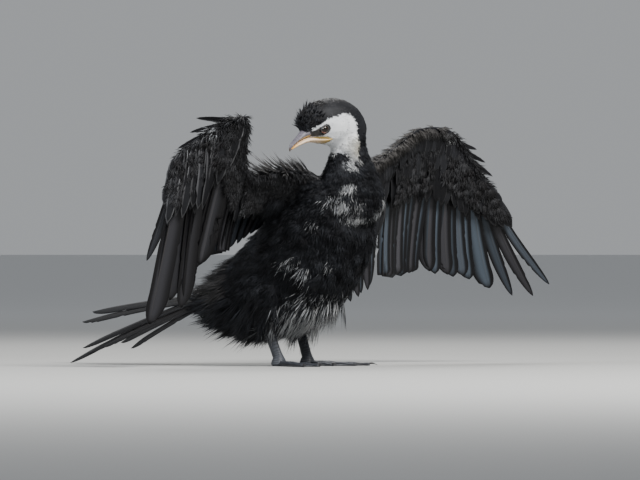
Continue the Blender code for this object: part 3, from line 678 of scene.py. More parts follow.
def strew(wanted, spacing, seed):
    """Roots about evenly spread over the skin where it is wanted: place, normal, lie and chart place."""
    rng = np.random.default_rng(seed)
    tris = np.flatnonzero(wanted[skin_tris].mean(axis=1) > rng.random(len(skin_tris)))
    corners = skin_points[skin_tris[tris]]
    area = np.linalg.norm(np.cross(corners[:, 1] - corners[:, 0], corners[:, 2] - corners[:, 0]), axis=1) / 2
    count = int(area.sum() / spacing**2 * 3)
    pick = tris[rng.choice(len(tris), count, p=area / area.sum())]
    a, b = rng.random((2, count))
    a, b = np.where(a + b > 1, 1 - a, a), np.where(a + b > 1, 1 - b, b)
    share = np.stack([1 - a - b, a, b], axis=1)[:, :, None]
    places = (skin_points[skin_tris[pick]] * share).sum(axis=1)
    keep = np.sort(np.unique(cells_of(places, spacing, rng), axis=0, return_index=True)[1])
    pick, share, places = pick[keep], share[keep], places[keep]
    normals = unit((skin_normals[skin_tris[pick]] * share).sum(axis=1))
    ways = unit((skin_lie[skin_tris[pick]] * share).sum(axis=1))
    chart = (skin_chart[tri_loops[pick]] * share).sum(axis=1)
    return places, normals, ways, chart


def mesh_of(name, points, faces):
    """A smooth mesh over points, with faces of like numbers of corners."""
    mesh = bpy.data.meshes.new(name)
    mesh.vertices.add(len(points))
    mesh.vertices.foreach_set("co", points.astype(np.float32).ravel())
    mesh.loops.add(faces.size)
    mesh.loops.foreach_set("vertex_index", faces.ravel().astype(np.int32))
    mesh.polygons.add(len(faces))
    mesh.polygons.foreach_set("loop_start", np.arange(0, faces.size, faces.shape[1], dtype=np.int32))
    mesh.update(calc_edges=True)
    mesh.shade_smooth()
    return mesh


def tufts(
    name, roots, length, width, barbs, fan, lift, curl, breadth, seed, dust=0.0, white=None, clump=8.0,
):
    """Pieces of coat named name_1, name_2 and on. Sizes are in millimetres, for each root or for all."""
    places, normals, ways, chart = roots
    rng = np.random.default_rng(seed)
    count = len(places)
    length = np.broadcast_to(length, count) * rng.uniform(0.8, 1.15, count)
    sides = np.cross(normals, ways)
    lock = np.unique(cells_of(places, clump * MM, rng), axis=0, return_inverse=True)[1].ravel()
    locks = rng.normal(0, 1, (3, lock.max() + 1))[:, lock]
    swing = np.radians(rng.normal(0, 6, count) + 9 * locks[0])
    one = np.repeat(np.arange(count), barbs)
    fan_at = np.tile(np.linspace(-1, 1, barbs), count) + rng.normal(0, 0.22, count * barbs)
    turn = np.radians(fan) * fan_at + swing[one]
    ahead = ways[one] * np.cos(turn)[:, None] + sides[one] * np.sin(turn)[:, None]
    across = np.cross(normals[one], ahead)
    reach = length[one] * (1 - 0.22 * fan_at**2).clip(0.4) * rng.uniform(0.8, 1.12, len(one)) * MM
    start = places[one] + sides[one] * (fan_at * breadth / 2 * MM)[:, None] * 0.6 - normals[one] * 0.5 * MM
    lift = np.broadcast_to(lift, count) * (1 + 0.3 * locks[1]).clip(0.4)
    lift = (lift[one] + rng.normal(0, 0.06, len(one)))[:, None]
    curl = np.broadcast_to(curl, count)[one][:, None]
    if white is None:
        white = whiteness(places, rng.normal(0, 1.1, count))
    white = np.clip((white[one] - rng.random(len(one))) * 6 + 0.5, 0, 1) * (white[one] > 0.04)
    streak = white * np.broadcast_to(length > 7, count)[one]
    wide = width * MM / 2 * rng.uniform(0.75, 1.25, (len(one), 1)) * (1 - 0.35 * streak[:, None])
    rows = []
    for share in (*STATIONS, 1.0):
        middle = start + ahead * reach[:, None] * share
        middle = middle + normals[one] * reach[:, None] * (lift * share - curl * share**2)
        if share == 1.0:
            rows.append(middle[:, None])
            continue
        broad = wide * (0.6 + 1.2 * share * (1 - share) * 1.6)
        ridge = middle + normals[one] * broad * 0.7
        rows.append(np.stack([middle - across * broad, middle + across * broad, ridge], axis=1))
    points = np.concatenate(rows, axis=1)
    per = points.shape[1]
    faces = [(0, 1, 2)]
    for level in range(len(STATIONS) - 1):
        for i in range(3):
            j = (i + 1) % 3
            a, b, c, d = 3 * level + i, 3 * level + j, 3 * level + 3 + j, 3 * level + 3 + i
            faces += [(a, c, b), (a, d, c)]
    for i in range(3):
        faces.append((per - 4 + i, per - 1, per - 4 + (i + 1) % 3))
    faces = np.array(faces)
    along_at = np.concatenate([np.repeat(STATIONS, 3), [1.0]])
    across_at = np.array([-1.0, 1.0, 0.0] * len(STATIONS) + [0.0])
    patch = np.stack([across_at, along_at * 2 - 1], axis=1) * PATCH
    tone = (0.42 + 0.2 * locks[2] + rng.normal(0, 0.14, count))[one] + rng.normal(0, 0.12, len(one))
    tone = np.clip(tone, 0, 1)
    dusty = np.broadcast_to(dust, count)[one]
    cream_at = creaminess(places)
    most = MOST_TRIANGLES // len(faces)
    for number, first in enumerate(range(0, len(one), most)):
        last = min(first + most, len(one))
        size = last - first
        index = (np.arange(size)[:, None, None] * per + faces[None]).reshape(-1, 3)
        mesh = mesh_of(f"{name}_{number + 1}", points[first:last].reshape(-1, 3), index)
        spots = (chart[one[first:last]][:, None] + patch[None]).reshape(-1, 2)[index.ravel()]
        mesh.uv_layers.new(name="OFBake").data.foreach_set("uv", spots.astype(np.float32).ravel())
        tips_only = 1 - streak[first:last, None] * (1 - 0.85 * np.clip(along_at * 1.7, 0.1, 1))[None]
        hold(mesh, "white", (white[first:last, None] * tips_only).ravel())
        hold(mesh, "tone", np.repeat(tone[first:last], per))
        hold(mesh, "dust", np.repeat(dusty[first:last], per))
        hold(mesh, "cream", np.repeat(cream_at[one[first:last]], per))
        hold(mesh, "along", np.tile(along_at, size))
        finished(linked(mesh.name, mesh), plumage, "plumage")


RUMP_AT, RUMP_SIZE = (-12, 84, 104), (26, 24, 18)
EDGE_PLACES = 60  # along the front edge of a wing
EDGE_FLUFF = 0.011
region = {name: (skin_region == i).astype(float) for i, name in enumerate(FLESH)}
feathered = 1.0 - bare(skin_points)
head_roots = strew(region["head"] * feathered, 1.7 * MM, 11)
ahead, up, out = head_places(head_roots[0])
crest = np.exp(-(((ahead - 18) / 7) ** 2 + ((up - 10) / 8) ** 2))
cap = (up > 4) & (whiteness(head_roots[0]) < 0.5)
tufts(
    "coat_head", head_roots, 3.8 + 3.6 * crest, 0.55, 4, fan=16 + 10 * crest.mean(), lift=0.2 + 0.6 * crest,
    curl=0.1, breadth=1.5, dust=0.2 * cap * (1 - crest), seed=12,
)
ahead, up, _ = head_places(skin_points)
crest_roots = strew(region["head"] * (up > 4) * (ahead > 2), 3.0 * MM, 33)
tufts("coat_crest", crest_roots, 7.0, 0.5, 5, fan=9, lift=0.75, curl=0.05, breadth=1.2, clump=3.0, seed=34)
neck_roots = strew(region["neck"], 2.5 * MM, 13)
high = np.clip((neck_roots[0][:, 2] - at(0, 0, 205).z) / 0.03, 0, 1)
tufts(
    "coat_neck", neck_roots, 10.5 - 3.5 * high, 0.62, 6, fan=20, lift=0.46, curl=0.3, breadth=2.2, seed=14,
)
body_roots = strew(region["torso"], 3.4 * MM, 15)
low = np.clip((at(0, 0, 75).z - body_roots[0][:, 2]) / 0.04, 0, 1)
rump = (body_roots[0] - np.array(at(*RUMP_AT))) / MM / np.array(RUMP_SIZE)
rump = np.exp(-np.sum(rump**2, axis=1))
tufts(
    "coat_body", body_roots, 15 + 9 * low + 5 * rump, 0.68, 8, fan=26, lift=0.42 + 0.16 * low + 0.2 * rump,
    curl=0.3 - 0.1 * low - 0.2 * rump, breadth=3.6, dust=0.15 * rump, seed=16,
)
tufts(
    "coat_thighs", strew(region["thigh_left"] + region["thigh_right"], 2.7 * MM, 17), 13.0, 0.75, 6, fan=22,
    lift=0.5, curl=0.22, breadth=3.0, seed=18,
)
for wing in (left_wing, right_wing):
    wing_roots = strew(region["wing_" + wing.side], 3.0 * MM, 19)
    tops = [wing.section(share)[0] for share in np.linspace(0, 1, EDGE_PLACES)]
    gap = np.linalg.norm(wing_roots[0][:, None] - np.array([tuple(top) for top in tops])[None], axis=2)
    fluff = np.exp(-((gap.min(axis=1) / EDGE_FLUFF) ** 2))
    outer = gap.argmin(axis=1) / (EDGE_PLACES - 1)
    ruff = fluff * (0.5 + 0.5 * (outer > 0.3))
    grey = fluff * np.clip((0.72 - outer) * 5, 0.1, 1)
    tufts(
        "coat_wing_" + wing.side, wing_roots, 8.0 + 2.5 * ruff, 0.9, 7, fan=34, lift=0.3 + 0.4 * ruff,
        curl=0.22 - 0.12 * ruff, breadth=3.2,
        dust=(0.05 + 0.6 * grey) * (wing is left_wing) + 0.1 * (wing is right_wing), clump=5.0, seed=20,
    )


# Longer locks hang in a ragged fringe from the belly, the vent and the thighs, brownish plumes from the
# rump, and long dark feathers in the pit of the right wing.
from_stance = (skin_points - np.array(at(0, 0, 0))) / MM


def in_box(centre, half_size):
    """Which of the skin's points are in a box round a place, in millimetres."""
    return (np.abs(from_stance - np.array(centre)) < np.array(half_size)).all(axis=1)


hanging = (skin_normals[:, 2] < 0.15) & (from_stance[:, 2] < 72)
hanging &= region["torso"] + region["thigh_left"] + region["thigh_right"] > 0
tufts(
    "coat_fringe", strew(hanging.astype(float), 5.4 * MM, 35), 26.0, 0.9, 7, fan=9, lift=0.66, curl=0.1,
    breadth=3.2, clump=11.0, seed=36,
)
plumes = in_box((-24, 84, 94), (22, 26, 24)) & (region["torso"] > 0)
plume_roots = strew(plumes.astype(float), 6.0 * MM, 37)
tufts(
    "coat_rump", plume_roots, 24.0, 0.8, 7, fan=11, lift=0.5, curl=0.0, breadth=3.0, dust=0.3,
    white=np.zeros(len(plume_roots[0])), clump=12.0, seed=38,
)
armpit = in_box((-44, 2, 166), (26, 24, 16)) & (skin_normals[:, 2] < 0.5)
tufts(
    "coat_armpit", strew(armpit.astype(float), 4.4 * MM, 39), 24.0, 1.0, 8, fan=16, lift=0.3, curl=0.1,
    breadth=4.0, clump=9.0, seed=40,
)
# The feathers of the mantle stand up behind the neck in long ragged points.
mantle = (from_stance[:, 0] < -2) & (from_stance[:, 0] > -92) & (from_stance[:, 1] > -34)
mantle &= (from_stance[:, 2] > 184) & (skin_normals[:, 2] > 0.35)
mantle &= region["torso"] + region["wing_right"] > 0
mantle_roots = strew(mantle.astype(float), 4.6 * MM, 21)
mantle_roots = (*mantle_roots[:2], unit(mantle_roots[2] + np.array((-0.35, 0.45, 0.25))), mantle_roots[3])
tufts(
    "coat_mantle", mantle_roots, 21.0, 1.3, 8, fan=17, lift=0.62, curl=-0.05, breadth=3.4, dust=0.32,
    white=np.zeros(len(mantle_roots[0])), seed=22,
)


# The flight feathers: primaries on the hand, secondaries on the forearm and tertials on the arm. Each is
# a thin vane of barbs on either side of a raised shaft, bent a little back and down, its hind side
# broader, closed all round.
ACROSS = np.array([-1.0, -0.8, -0.5, -0.22, -0.055, 0.0, 0.055, 0.22, 0.5, 0.8, 1.0])


def plate_faces(levels, m):
    """The faces of a thin plate: a grid of points above, the same below, and the rim between them."""
    grid = np.arange(levels * m).reshape(levels, m)
    corners = [grid[:-1, :-1], grid[:-1, 1:], grid[1:, 1:], grid[1:, :-1]]
    upper = np.stack(corners, axis=-1).reshape(-1, 4)
    rim = np.concatenate([grid[:, 0], grid[-1, 1:], grid[-2::-1, -1], grid[0, -2:0:-1]])
    after = np.roll(rim, -1)
    rim = np.stack([rim, after, after + levels * m, rim + levels * m], axis=-1)
    return np.concatenate([upper, upper[:, ::-1] + levels * m, rim])


def turned_out(mesh):
    """Has all the faces of a mesh look outwards."""
    form = bmesh.new()
    form.from_mesh(mesh)
    bmesh.ops.recalc_face_normals(form, faces=form.faces)
    form.to_mesh(mesh)
    form.free()


class Feathers:
    """Blades that become one mesh: their points, faces, charts and attributes."""

    def __init__(self, cells):
        self.cells = cells
        self.points, self.faces, self.bake, self.vane = [], [], [], []
        self.hold = {"edge": [], "hind": [], "below": [], "along": [], "tone": [], "rim": [], "pale": []}
        self.count = self.size = 0

    def blade(
        self, root, tip, upper, half_width, rng, levels, bow, lopsided, taper, blunt, notches, pale,
        tilt=0.0, bend=0.0, shaft=0.8, droop=0.14,
    ):
        """Adds one feather. The bend turns its tip sideways, the taper is where it starts to narrow."""
        reach = (tip - root).length
        ahead = (tip - root) / reach
        across = Matrix.Rotation(tilt, 3, ahead) @ ahead.cross(upper).normalized()
        rise = across.cross(ahead)
        ahead, across, rise = (np.array(v) for v in (ahead, across, rise))
        t = np.linspace(0, 1, levels) ** 0.9
        end = ((t - taper) / (1 - taper)).clip(0, 1)
        wide = np.minimum(1, ((t + 0.02) / 0.16) ** 0.6) * (1 - end**blunt) ** 0.6
        wide = wide.clip(0.04) * half_width
        arch = bow * 4 * t * (1 - t) * reach
        middle = np.array(root) + ahead * (reach * t)[:, None] + rise * arch[:, None]
        middle += across * (bend * reach * (t**2 - t))[:, None]
        u = ACROSS
        uneven = lopsided * (1 - 0.75 * end[:, None])
        side = np.where(u[None] < 0, 1 + uneven, 1 - uneven)
        ragged = np.ones((levels, len(u)))
        for _ in range(notches):
            where, edge = rng.uniform(0.3, 0.95), rng.choice((0, -1))
            level = int(where * (levels - 1))
            ragged[level, edge] -= rng.uniform(0.05, 0.2)
            ragged[max(level - 1, 0), edge] += 0.05
        offset = u[None] * side * wide[:, None] * ragged
        wave = rng.normal(0, 0.05, 3)
        lift = half_width * wave[0] * np.sin(t * 5 + wave[1] * 30)[:, None] * np.abs(u)[None] ** 2
        lift = -droop * np.abs(offset) * np.abs(u)[None] + lift
        slant = 0.55 * np.abs(offset) * np.minimum(1, t * 6)[:, None] * (1 - end[:, None])
        base = middle[:, None] + across * offset[..., None] + rise * lift[..., None]
        base = base + ahead * (slant - 0.5 * slant.max())[..., None]
        thick = 0.16 + 0.12 * (1 - np.abs(u))[None]
        thick = (thick + (np.abs(u) < 0.01)[None] * shaft * (1.15 - t)[:, None]) * MM
        top, bottom = base + rise * thick[..., None] / 2, base - rise * thick[..., None] / 2
        m = len(u)
        self.points += [top.reshape(-1, 3), bottom.reshape(-1, 3)]
        self.faces.append(plate_faces(levels, m) + self.size)
        self.size += 2 * levels * m
        over, out = np.broadcast_to(u[None], (levels, m)), np.broadcast_to(t[:, None], (levels, m))
        rim = np.maximum(np.abs(over), ((out - 0.82) / 0.18).clip(0, 1))
        rows = math.ceil(2 * self.cells / 40)
        columns = math.ceil(2 * self.cells / rows)
        for half in (0, 1):
            cell = 2 * self.count + half
            x = (cell % columns + 0.04 + 0.92 * (over * 0.5 + 0.5)) / columns
            y = (cell // columns + 0.02 + 0.96 * out) / rows
            self.bake.append(np.stack([x, y], axis=-1).reshape(-1, 2))
            self.vane.append(np.stack([offset * 100, out * reach * 100], axis=-1).reshape(-1, 2))
            hind = over * (1 if lopsided < 0 else -1)
            below = np.full((levels, m), half)
            shared = {"edge": over, "along": out, "hind": hind, "below": below, "rim": rim}
            for key, values in shared.items():
                self.hold[key].append(values.ravel())
        # pale is how strong the painted sheen of a flight feather is, or how pale the rims of a covert are.
        for key, value in (("tone", rng.random()), ("pale", pale)):
            self.hold[key].append(np.full(2 * levels * m, value))
        self.count += 1

    def made(self, name, finish, slot, *nodes):
        faces = np.concatenate(self.faces)
        mesh = mesh_of(name, np.concatenate(self.points), faces)
        for chart, values in (("OFBake", self.bake), ("vane", self.vane)):
            values = np.concatenate(values)[faces.ravel()]
            mesh.uv_layers.new(name=chart).data.foreach_set("uv", values.astype(np.float32).ravel())
        for key, values in self.hold.items():
            hold(mesh, key, np.concatenate(values))
        turned_out(mesh)
        finished(linked(name, mesh), finish, slot, *nodes)


quills = Finish("flight_feathers", 0.34, 0.16)
edge, along, tone, pale, hind, below = (
    quills.attribute(name) for name in ("edge", "along", "tone", "pale", "hind", "below")
)
side, length = quills.chart("vane")
barbs = (length * 55 - side.abs() * 60 + quills.noise(40, 2) * 3).math("SINE") * 0.5 + 0.5
# Painted sheen: a blue-grey band over the hind half of each vane stands in for the sky's reflection on the
# glossy feathers. Its strength comes from each blade's pale, is greatest on the underside and fades towards
# root and tip.
sheen = (hind + 0.62).step(0.0, 0.5) * (1 - hind).step(0.08, 0.75)
painted_sky_sheen = quills.mix(tone.step(0.45, 0.65), (0.084, 0.108, 0.138), (0.094, 0.094, 0.108))
sheen_strength = (1 - along * 0.35) * pale * (along.step(0.12, 0.4) * 0.6 + 0.4) * (1 - along.step(0.93, 1.0) * 0.8)
sheen_strength = sheen_strength * (below * 0.85 + 0.15)
colour = quills.mix((sheen * sheen_strength + barbs * 0.06 - 0.03).clamp(), (0.0045, 0.0042, 0.0048), painted_sky_sheen)
shaft = (1 - edge.abs() * 14).clamp()
colour = quills.mix((shaft * (0.8 - along * 0.6)).clamp(), colour, (0.050, 0.044, 0.040))
quills.feed("Base Color", colour)
quills.feed("Roughness", barbs * 0.08 + 0.30 + tone * 0.08)
quills.bump(barbs, 0.2, 0.00015)

ROWS = {  # how many, half width, where they start to taper, and how blunt the tip is
    "arm": (6, 6.8, 0.7, 2.0), "forearm": (8, 10.4, 0.91, 2.2), "hand": (10, 10.6, 0.8, 2.3),
}
FINGER_WIDTHS = {7: 0.66, 8: 0.6, 9: 0.5}  # of the hand's outer feathers, as shares of the others' width
FIRST_FINGER = {"left": 7, "right": 9}
FINGER_TAPER = 0.5
RIGHT_ARM_WIDTH = 1.3  # as a share of the left arm's
GLOW = {"left": 1, "right": 0.45}  # how bright the painted sheen on the hind vanes is, for each wing
QUILL_TILT = math.radians(9)
for wing in (left_wing, right_wing):
    for part, (count, half_width, taper, blunt) in ROWS.items():
        rng = np.random.default_rng(ord(wing.side[0]) + len(part))
        row = Feathers(count)
        for number in range(1 if part == "arm" and wing is left_wing else 0, count):
            root, tip, upper = wing.quill(part, number / (count - 1))
            under = upper * (0.6 - 0.10 * number) * MM * (1 if part != "hand" else 0.8)
            finger = part == "hand" and number >= FIRST_FINGER[wing.side]
            # broad scales a blade's width, glow its painted sheen.
            broad, glow = 1, 1.0
            if finger:
                broad, glow = FINGER_WIDTHS[number], 0.75
            elif part == "arm":
                broad, glow = RIGHT_ARM_WIDTH if wing is right_wing else 1, 0.5
            row.blade(
                root + under, tip + under, upper, half_width * MM * broad, rng, levels=34,
                tilt=QUILL_TILT * wing.sign, bow=0.035, bend=0.06 * wing.sign * (part == "hand"),
                lopsided=0.35 * wing.sign * (1 if part != "arm" else 0.4),
                taper=FINGER_TAPER if finger else taper, blunt=blunt, notches=3,
                pale=rng.uniform(0.35, 1.0) * glow * GLOW[wing.side],
            )
        row.made(f"{part}_quills_{wing.side}", quills, "flight_feathers", f"wing_{wing.side}_{part}")


# The coverts. Three tiers of shorter rounder feathers over the roots of the flight feathers, on the
# upper and on the under side of each wing, each tier over the next. Those under the right hand have
# silver rims. On the thumb three stiff feathers, the alula, stand off the wing's front edge.
THUMB_TIPS = {
    "left": ((245, -64, 229), (257, -67, 215), (268, -69, 200)),
    "right": ((-178, 3, 258), (-182, 8, 243), (-190, 18, 226)),
}
# Reach as a share of the flight feather, half width, rise at root and at tip, spacing, and how far ahead.
COVERT_TIERS = (
    (0.40, 6.6, 0.8, 2.8, 6.4, 0.35), (0.25, 5.2, 1.0, 4.2, 5.2, 0.55), (0.13, 4.2, 1.0, 5.0, 4.6, 0.72),
)
coverts = Finish("coverts", 0.55, 0.12)
rim, tone, pale = (coverts.attribute(name) for name in ("rim", "tone", "pale"))
side, length = coverts.chart("vane")
barbs = (length * 60 - side.abs() * 70 + coverts.noise(50, 2) * 4).math("SINE") * 0.5 + 0.5
sheen = (tone**2 * 0.8 + barbs * 0.15).clamp()
colour = coverts.mix(sheen, (0.0045, 0.0045, 0.0055), (0.015, 0.0155, 0.018))
fringe = (rim.step(0.62, 0.9) * (barbs * 0.4 + 0.6) * pale).clamp()
coverts.feed("Base Color", coverts.mix(fringe, colour, (0.24, 0.24, 0.25)))
coverts.bump(barbs, 0.3, 0.00015)

for wing in (left_wing, right_wing):
    rng = np.random.default_rng(31)
    plan = []
    for face in (1, -1):
        for reach, half_width, low, high, spacing, ahead_share in COVERT_TIERS:
            for part in ("arm", "forearm", "hand"):
                first, last = wing.quill(part, 0.0)[0], wing.quill(part, 1.0)[0]
                count = max(4, round((last - first).length / (spacing * MM)))
                for number in range(count):
                    share = (number + 0.5 * rng.uniform(-0.4, 0.4)) / (count - 1)
                    root, tip, upper = wing.quill(part, min(max(share, 0), 1), ahead_share)
                    outward = upper * face
                    end = root.lerp(tip, reach * rng.uniform(0.8, 1.15) * (1.2 if part == "arm" else 1))
                    fleshy = 1.6 * MM if part == "hand" else 2.6 * MM
                    start = root + outward * (low * MM + fleshy * (ahead_share > 0.4))
                    scaly_band = wing is right_wing and part == "hand" and face < 0
                    silver = 0.9 - 1.4 * reach if scaly_band else 0.12
                    wide = half_width * rng.uniform(0.75, 1.1) * MM
                    plan.append((start, end + outward * high * MM, outward, wide, silver))
    tier = Feathers(len(plan) + 3)
    for start, end, outward, half_width, silver in plan:
        tier.blade(
            start, end, outward, half_width, rng, levels=9, tilt=rng.normal(0, 0.06), bow=0.05,
            lopsided=0.0, taper=0.5, blunt=2.4, shaft=0.35, droop=0.16, notches=3,
            pale=silver * rng.uniform(0.3, 1.3),
        )
    for number, tip in enumerate(THUMB_TIPS[wing.side]):
        lead, trail, _, upper = wing.section(0.70 + 0.035 * number)
        tier.blade(
            lead.lerp(trail, 0.3), at(*tip), upper, 2.9 * MM, rng, levels=16, bow=0.03,
            lopsided=0.3 * wing.sign, taper=0.45, blunt=1.8, shaft=0.5, notches=3, pale=0.25,
        )
    tier.made(f"coverts_{wing.side}", coverts, "flight_feathers")

    # Soft small feathers lie over the tiers and blur their edges.
    rng = np.random.default_rng(41)
    places, normals, ways = [], [], []
    for part in ("arm", "forearm", "hand"):
        long = (wing.quill(part, 1.0)[0] - wing.quill(part, 0.0)[0]).length / MM
        for _ in range(round(long * 6)):
            root, tip, upper = wing.quill(part, rng.random(), 0.5)
            face = rng.choice((-1, 1))
            reach = rng.uniform(0.0, 0.34 if part != "hand" else 0.28)
            places.append(root.lerp(tip, reach) + upper * face * (5.0 + 1.6 * (1 - reach * 3)) * MM)
            normals.append(upper * face)
            ways.append((tip - root).normalized())
    places, normals, ways = (np.array([tuple(v) for v in row]) for row in (places, normals, ways))
    under = [skin_tree.find_nearest(Vector(place))[2] for place in places]
    chart = skin_chart[[skin.data.polygons[face].loop_indices[0] for face in under]]
    tufts(
        "coat_coverts_" + wing.side, (places, normals, ways, chart), 11.0, 0.9, 7, fan=28, lift=0.1,
        curl=0.14, breadth=3.8, dust=0.12, clump=6.0, seed=42,
    )


# The tail: twelve stiff feathers in two groups, the middle ones on top, tipped over to the right. The
# longest rests on the floor.
TAIL_ROOT = at(0, 116, 71)
TAIL_ROLL = math.radians(28)
TAIL_HALF_BREADTH = 10  # over the roots
TAIL_ACROSS = Vector((math.cos(TAIL_ROLL), 0, math.sin(TAIL_ROLL)))
TAIL_TIPS = (
    (-46, 186, 16), (-37, 206, 22), (-34, 232, 17), (-32, 254, 10), (-30, 278, 0.4), (-24, 266, 16),
    (-6, 239, 29), (2, 208, 45), (12, 293, 44), (25, 289, 55), (36, 235, 61), (40, 197, 65),
)
tail_upper = TAIL_ACROSS.cross((at(-8, 270, 25) - TAIL_ROOT).normalized()).normalized()
rng = np.random.default_rng(5)
tail = Feathers(len(TAIL_TIPS))
for number, tip in enumerate(TAIL_TIPS):
    share = number / (len(TAIL_TIPS) - 1)
    root = TAIL_ROOT + TAIL_ACROSS * (share * 2 - 1) * TAIL_HALF_BREADTH * MM
    root += tail_upper * (2.2 - 0.75 * abs(number - 5.5)) * MM
    # pale=0.12 gives the tail's vanes a faint painted sheen.
    tail.blade(
        root, at(*tip), tail_upper, 9.0 * MM, rng, levels=30, tilt=math.radians(-4 if number < 6 else 4),
        bow=0.012, lopsided=-0.25 if number < 6 else 0.25, taper=0.76, blunt=2.0, shaft=1.1, notches=4,
        pale=0.12,
    )
tail.made("tail_quills", quills, "flight_feathers", "tail")

# The bill. A ridged grey upper half with a hook at its tip, a groove along each side and a yellow lip,
# and a cream lower half that turns orange at its tip and olive at the gape. Horn over bone, in two parts
# that meet along the line of the mouth, which runs back under the eye.
UPPER_BILL = (  # forward, top, bottom and half width
    (-4, -11.5, -16.0, 13.6), (2, -7.5, -13.2, 12.9), (8, -2.0, -10.6, 10.2), (14, 1.8, -8.2, 7.8),
    (20, 1.3, -7.4, 5.8), (27, -2.0, -7.8, 4.5), (33, -4.6, -9.4, 3.5), (38, -7.0, -11.6, 2.5),
    (40.6, -9.8, -13.8, 1.4), (41.6, -12.0, -14.8, 0.5),
)
LOWER_BILL = (
    (-5, -14.7, -19.5, 13.8), (1, -12.8, -19.6, 12.8), (8, -10.3, -17.0, 10.3), (15, -8.0, -14.0, 7.5),
    (22, -7.7, -12.7, 5.5), (30, -9.1, -12.7, 3.9), (36, -10.9, -13.1, 2.5), (39, -12.0, -13.4, 1.1),
)
GROOVE_AT = 0.3  # of the height over the bill's middle
GROOVE_BREADTH = 0.14
BILL_RINGS, GROOVED_RINGS, BILL_CORNERS = 60, 50, 40


def key_values(keys, share):
    """The values of all the columns of keys, at a share of the way through."""
    return [along_keys([row[k] for row in keys], share) for k in range(len(keys[0]))]


def bill_half(name, sections, roof, groove):
    """The roof narrows a section towards its top, and the groove is cut into both sides of it."""
    rings = []
    for i in range(BILL_RINGS):
        forward, top, bottom, half = key_values(sections, i / (BILL_RINGS - 1))
        middle = (top + bottom) / 2
        ring = []
        for corner in range(BILL_CORNERS):
            angle = 2 * math.pi * corner / BILL_CORNERS
            rise = math.sin(angle)
            out = math.cos(angle) * half * (1 - roof * max(rise, 0))
            cut_in = groove * math.exp(-(((rise - GROOVE_AT) / GROOVE_BREADTH) ** 2)) * (i < GROOVED_RINGS)
            ring.append(in_head(forward, middle + (top - bottom) / 2 * rise, out * (1 - cut_in)))
        rings.append(ring)
    return loft(name, rings)


ridge = Finish("bill_ridge", 0.3, 0.5)
turn, along = ridge.chart("form")
rise = (turn * 2 * math.pi).math("SINE")
grain = ridge.noise(500, 3)
horn = ridge.mix(grain.step(0.35, 0.7), (0.085, 0.078, 0.098), (0.155, 0.142, 0.165))
horn = ridge.mix(along.step(0.86, 0.97), horn, (0.075, 0.048, 0.030))
lip = ridge.mix(grain, (0.34, 0.21, 0.050), (0.55, 0.37, 0.12))
low_edge = (rise * -1 - 0.50 + grain * 0.1).step(0.0, 0.16) * (1 - along.step(0.84, 0.93))
ridge.feed("Base Color", ridge.mix(low_edge, horn, lip))
ridge.bump(grain, 0.25, 0.0002)
finished(bill_half("bill_top", UPPER_BILL, 0.22, 0.05), ridge, "bill_ridge", "bill_upper")

jaw = Finish("bill", 0.34, 0.5)
_, along = jaw.chart("form")
grain = jaw.noise(420, 3)
horn = jaw.mix(along.step(0.06, 0.42), (0.34, 0.23, 0.05), (0.66, 0.50, 0.36))
horn = jaw.mix(along.step(0.6, 0.95), horn, (0.72, 0.40, 0.10))
jaw.feed("Base Color", jaw.mix(grain.step(0.4, 0.75) * 0.45, horn, (0.40, 0.25, 0.10)))
jaw.bump(grain, 0.2, 0.0002)
finished(bill_half("bill_jaw", LOWER_BILL, 0.0, 0.0), jaw, "bill", "bill_lower")


# The bare skin of the face: a dark wedge from the bill to the eye, and olive skin at the corner of the
# mouth. Thin fine-pored sheets that lie on the skull a little proud of the feathers' roots.
SHEET_STEP, SHEET_RISE, SHEET_THICKNESS = 0.5, 0.35, 0.5
FROM_OUTSIDE = 40


def face_sheet(name, outline, sign, finish, slot):
    """A sheet inside an outline in the head's frame, laid on one side of the head from outside."""
    across = np.arange(min(a for a, _ in outline), max(a for a, _ in outline), SHEET_STEP)
    up = np.arange(min(b for _, b in outline), max(b for _, b in outline), SHEET_STEP)
    form = bmesh.new()
    corners = {}
    for i, a in enumerate(across):
        for j, b in enumerate(up):
            start = in_head(a, b, FROM_OUTSIDE * sign)
            place, normal, _, _ = skin_tree.ray_cast(start, HEAD_LEFT * -sign)
            if place:
                corners[i, j] = form.verts.new(place + normal * SHEET_RISE * MM)
    middle_a, middle_b = (across[:-1] + SHEET_STEP / 2), (up[:-1] + SHEET_STEP / 2)
    for i, a in enumerate(middle_a):
        for j, b in enumerate(middle_b):
            cell = [corners.get(key) for key in ((i, j), (i + 1, j), (i + 1, j + 1), (i, j + 1))]
            if None not in cell and inside(outline, np.array([a]), np.array([b]))[0]:
                form.faces.new(cell)
    bmesh.ops.delete(form, geom=[vert for vert in form.verts if not vert.link_faces], context="VERTS")
    bmesh.ops.smooth_vert(
        form, verts=form.verts, factor=0.5, use_axis_x=True, use_axis_y=True, use_axis_z=True,
    )
    piece = piece_from(form, name)
    modified(piece, "SOLIDIFY", thickness=SHEET_THICKNESS * MM, offset=0.0)
    finished(piece, finish, slot)


lores = Finish("lores", 0.5, 0.4)
spot = lores.noise(260, 3)
lores.feed("Base Color", lores.mix(spot.step(0.35, 0.7), (0.010, 0.011, 0.011), (0.036, 0.030, 0.028)))
lores.bump(lores.noise(1400, 2), 0.5, 0.0003)
gape_skin = Finish("gape_skin", 0.45, 0.4)
spot = gape_skin.noise(320, 3)
gape_skin.feed("Base Color", gape_skin.mix(spot, (0.22, 0.15, 0.035), (0.38, 0.27, 0.085)))
gape_skin.bump(gape_skin.noise(1100, 2), 0.5, 0.0003)
for side, sign in (("left", 1), ("right", -1)):
    face_sheet(f"lores_{side}", LORES, sign, lores, "leg_skin")
    face_sheet(f"gape_{side}", GAPE, sign, gape_skin, "bill")


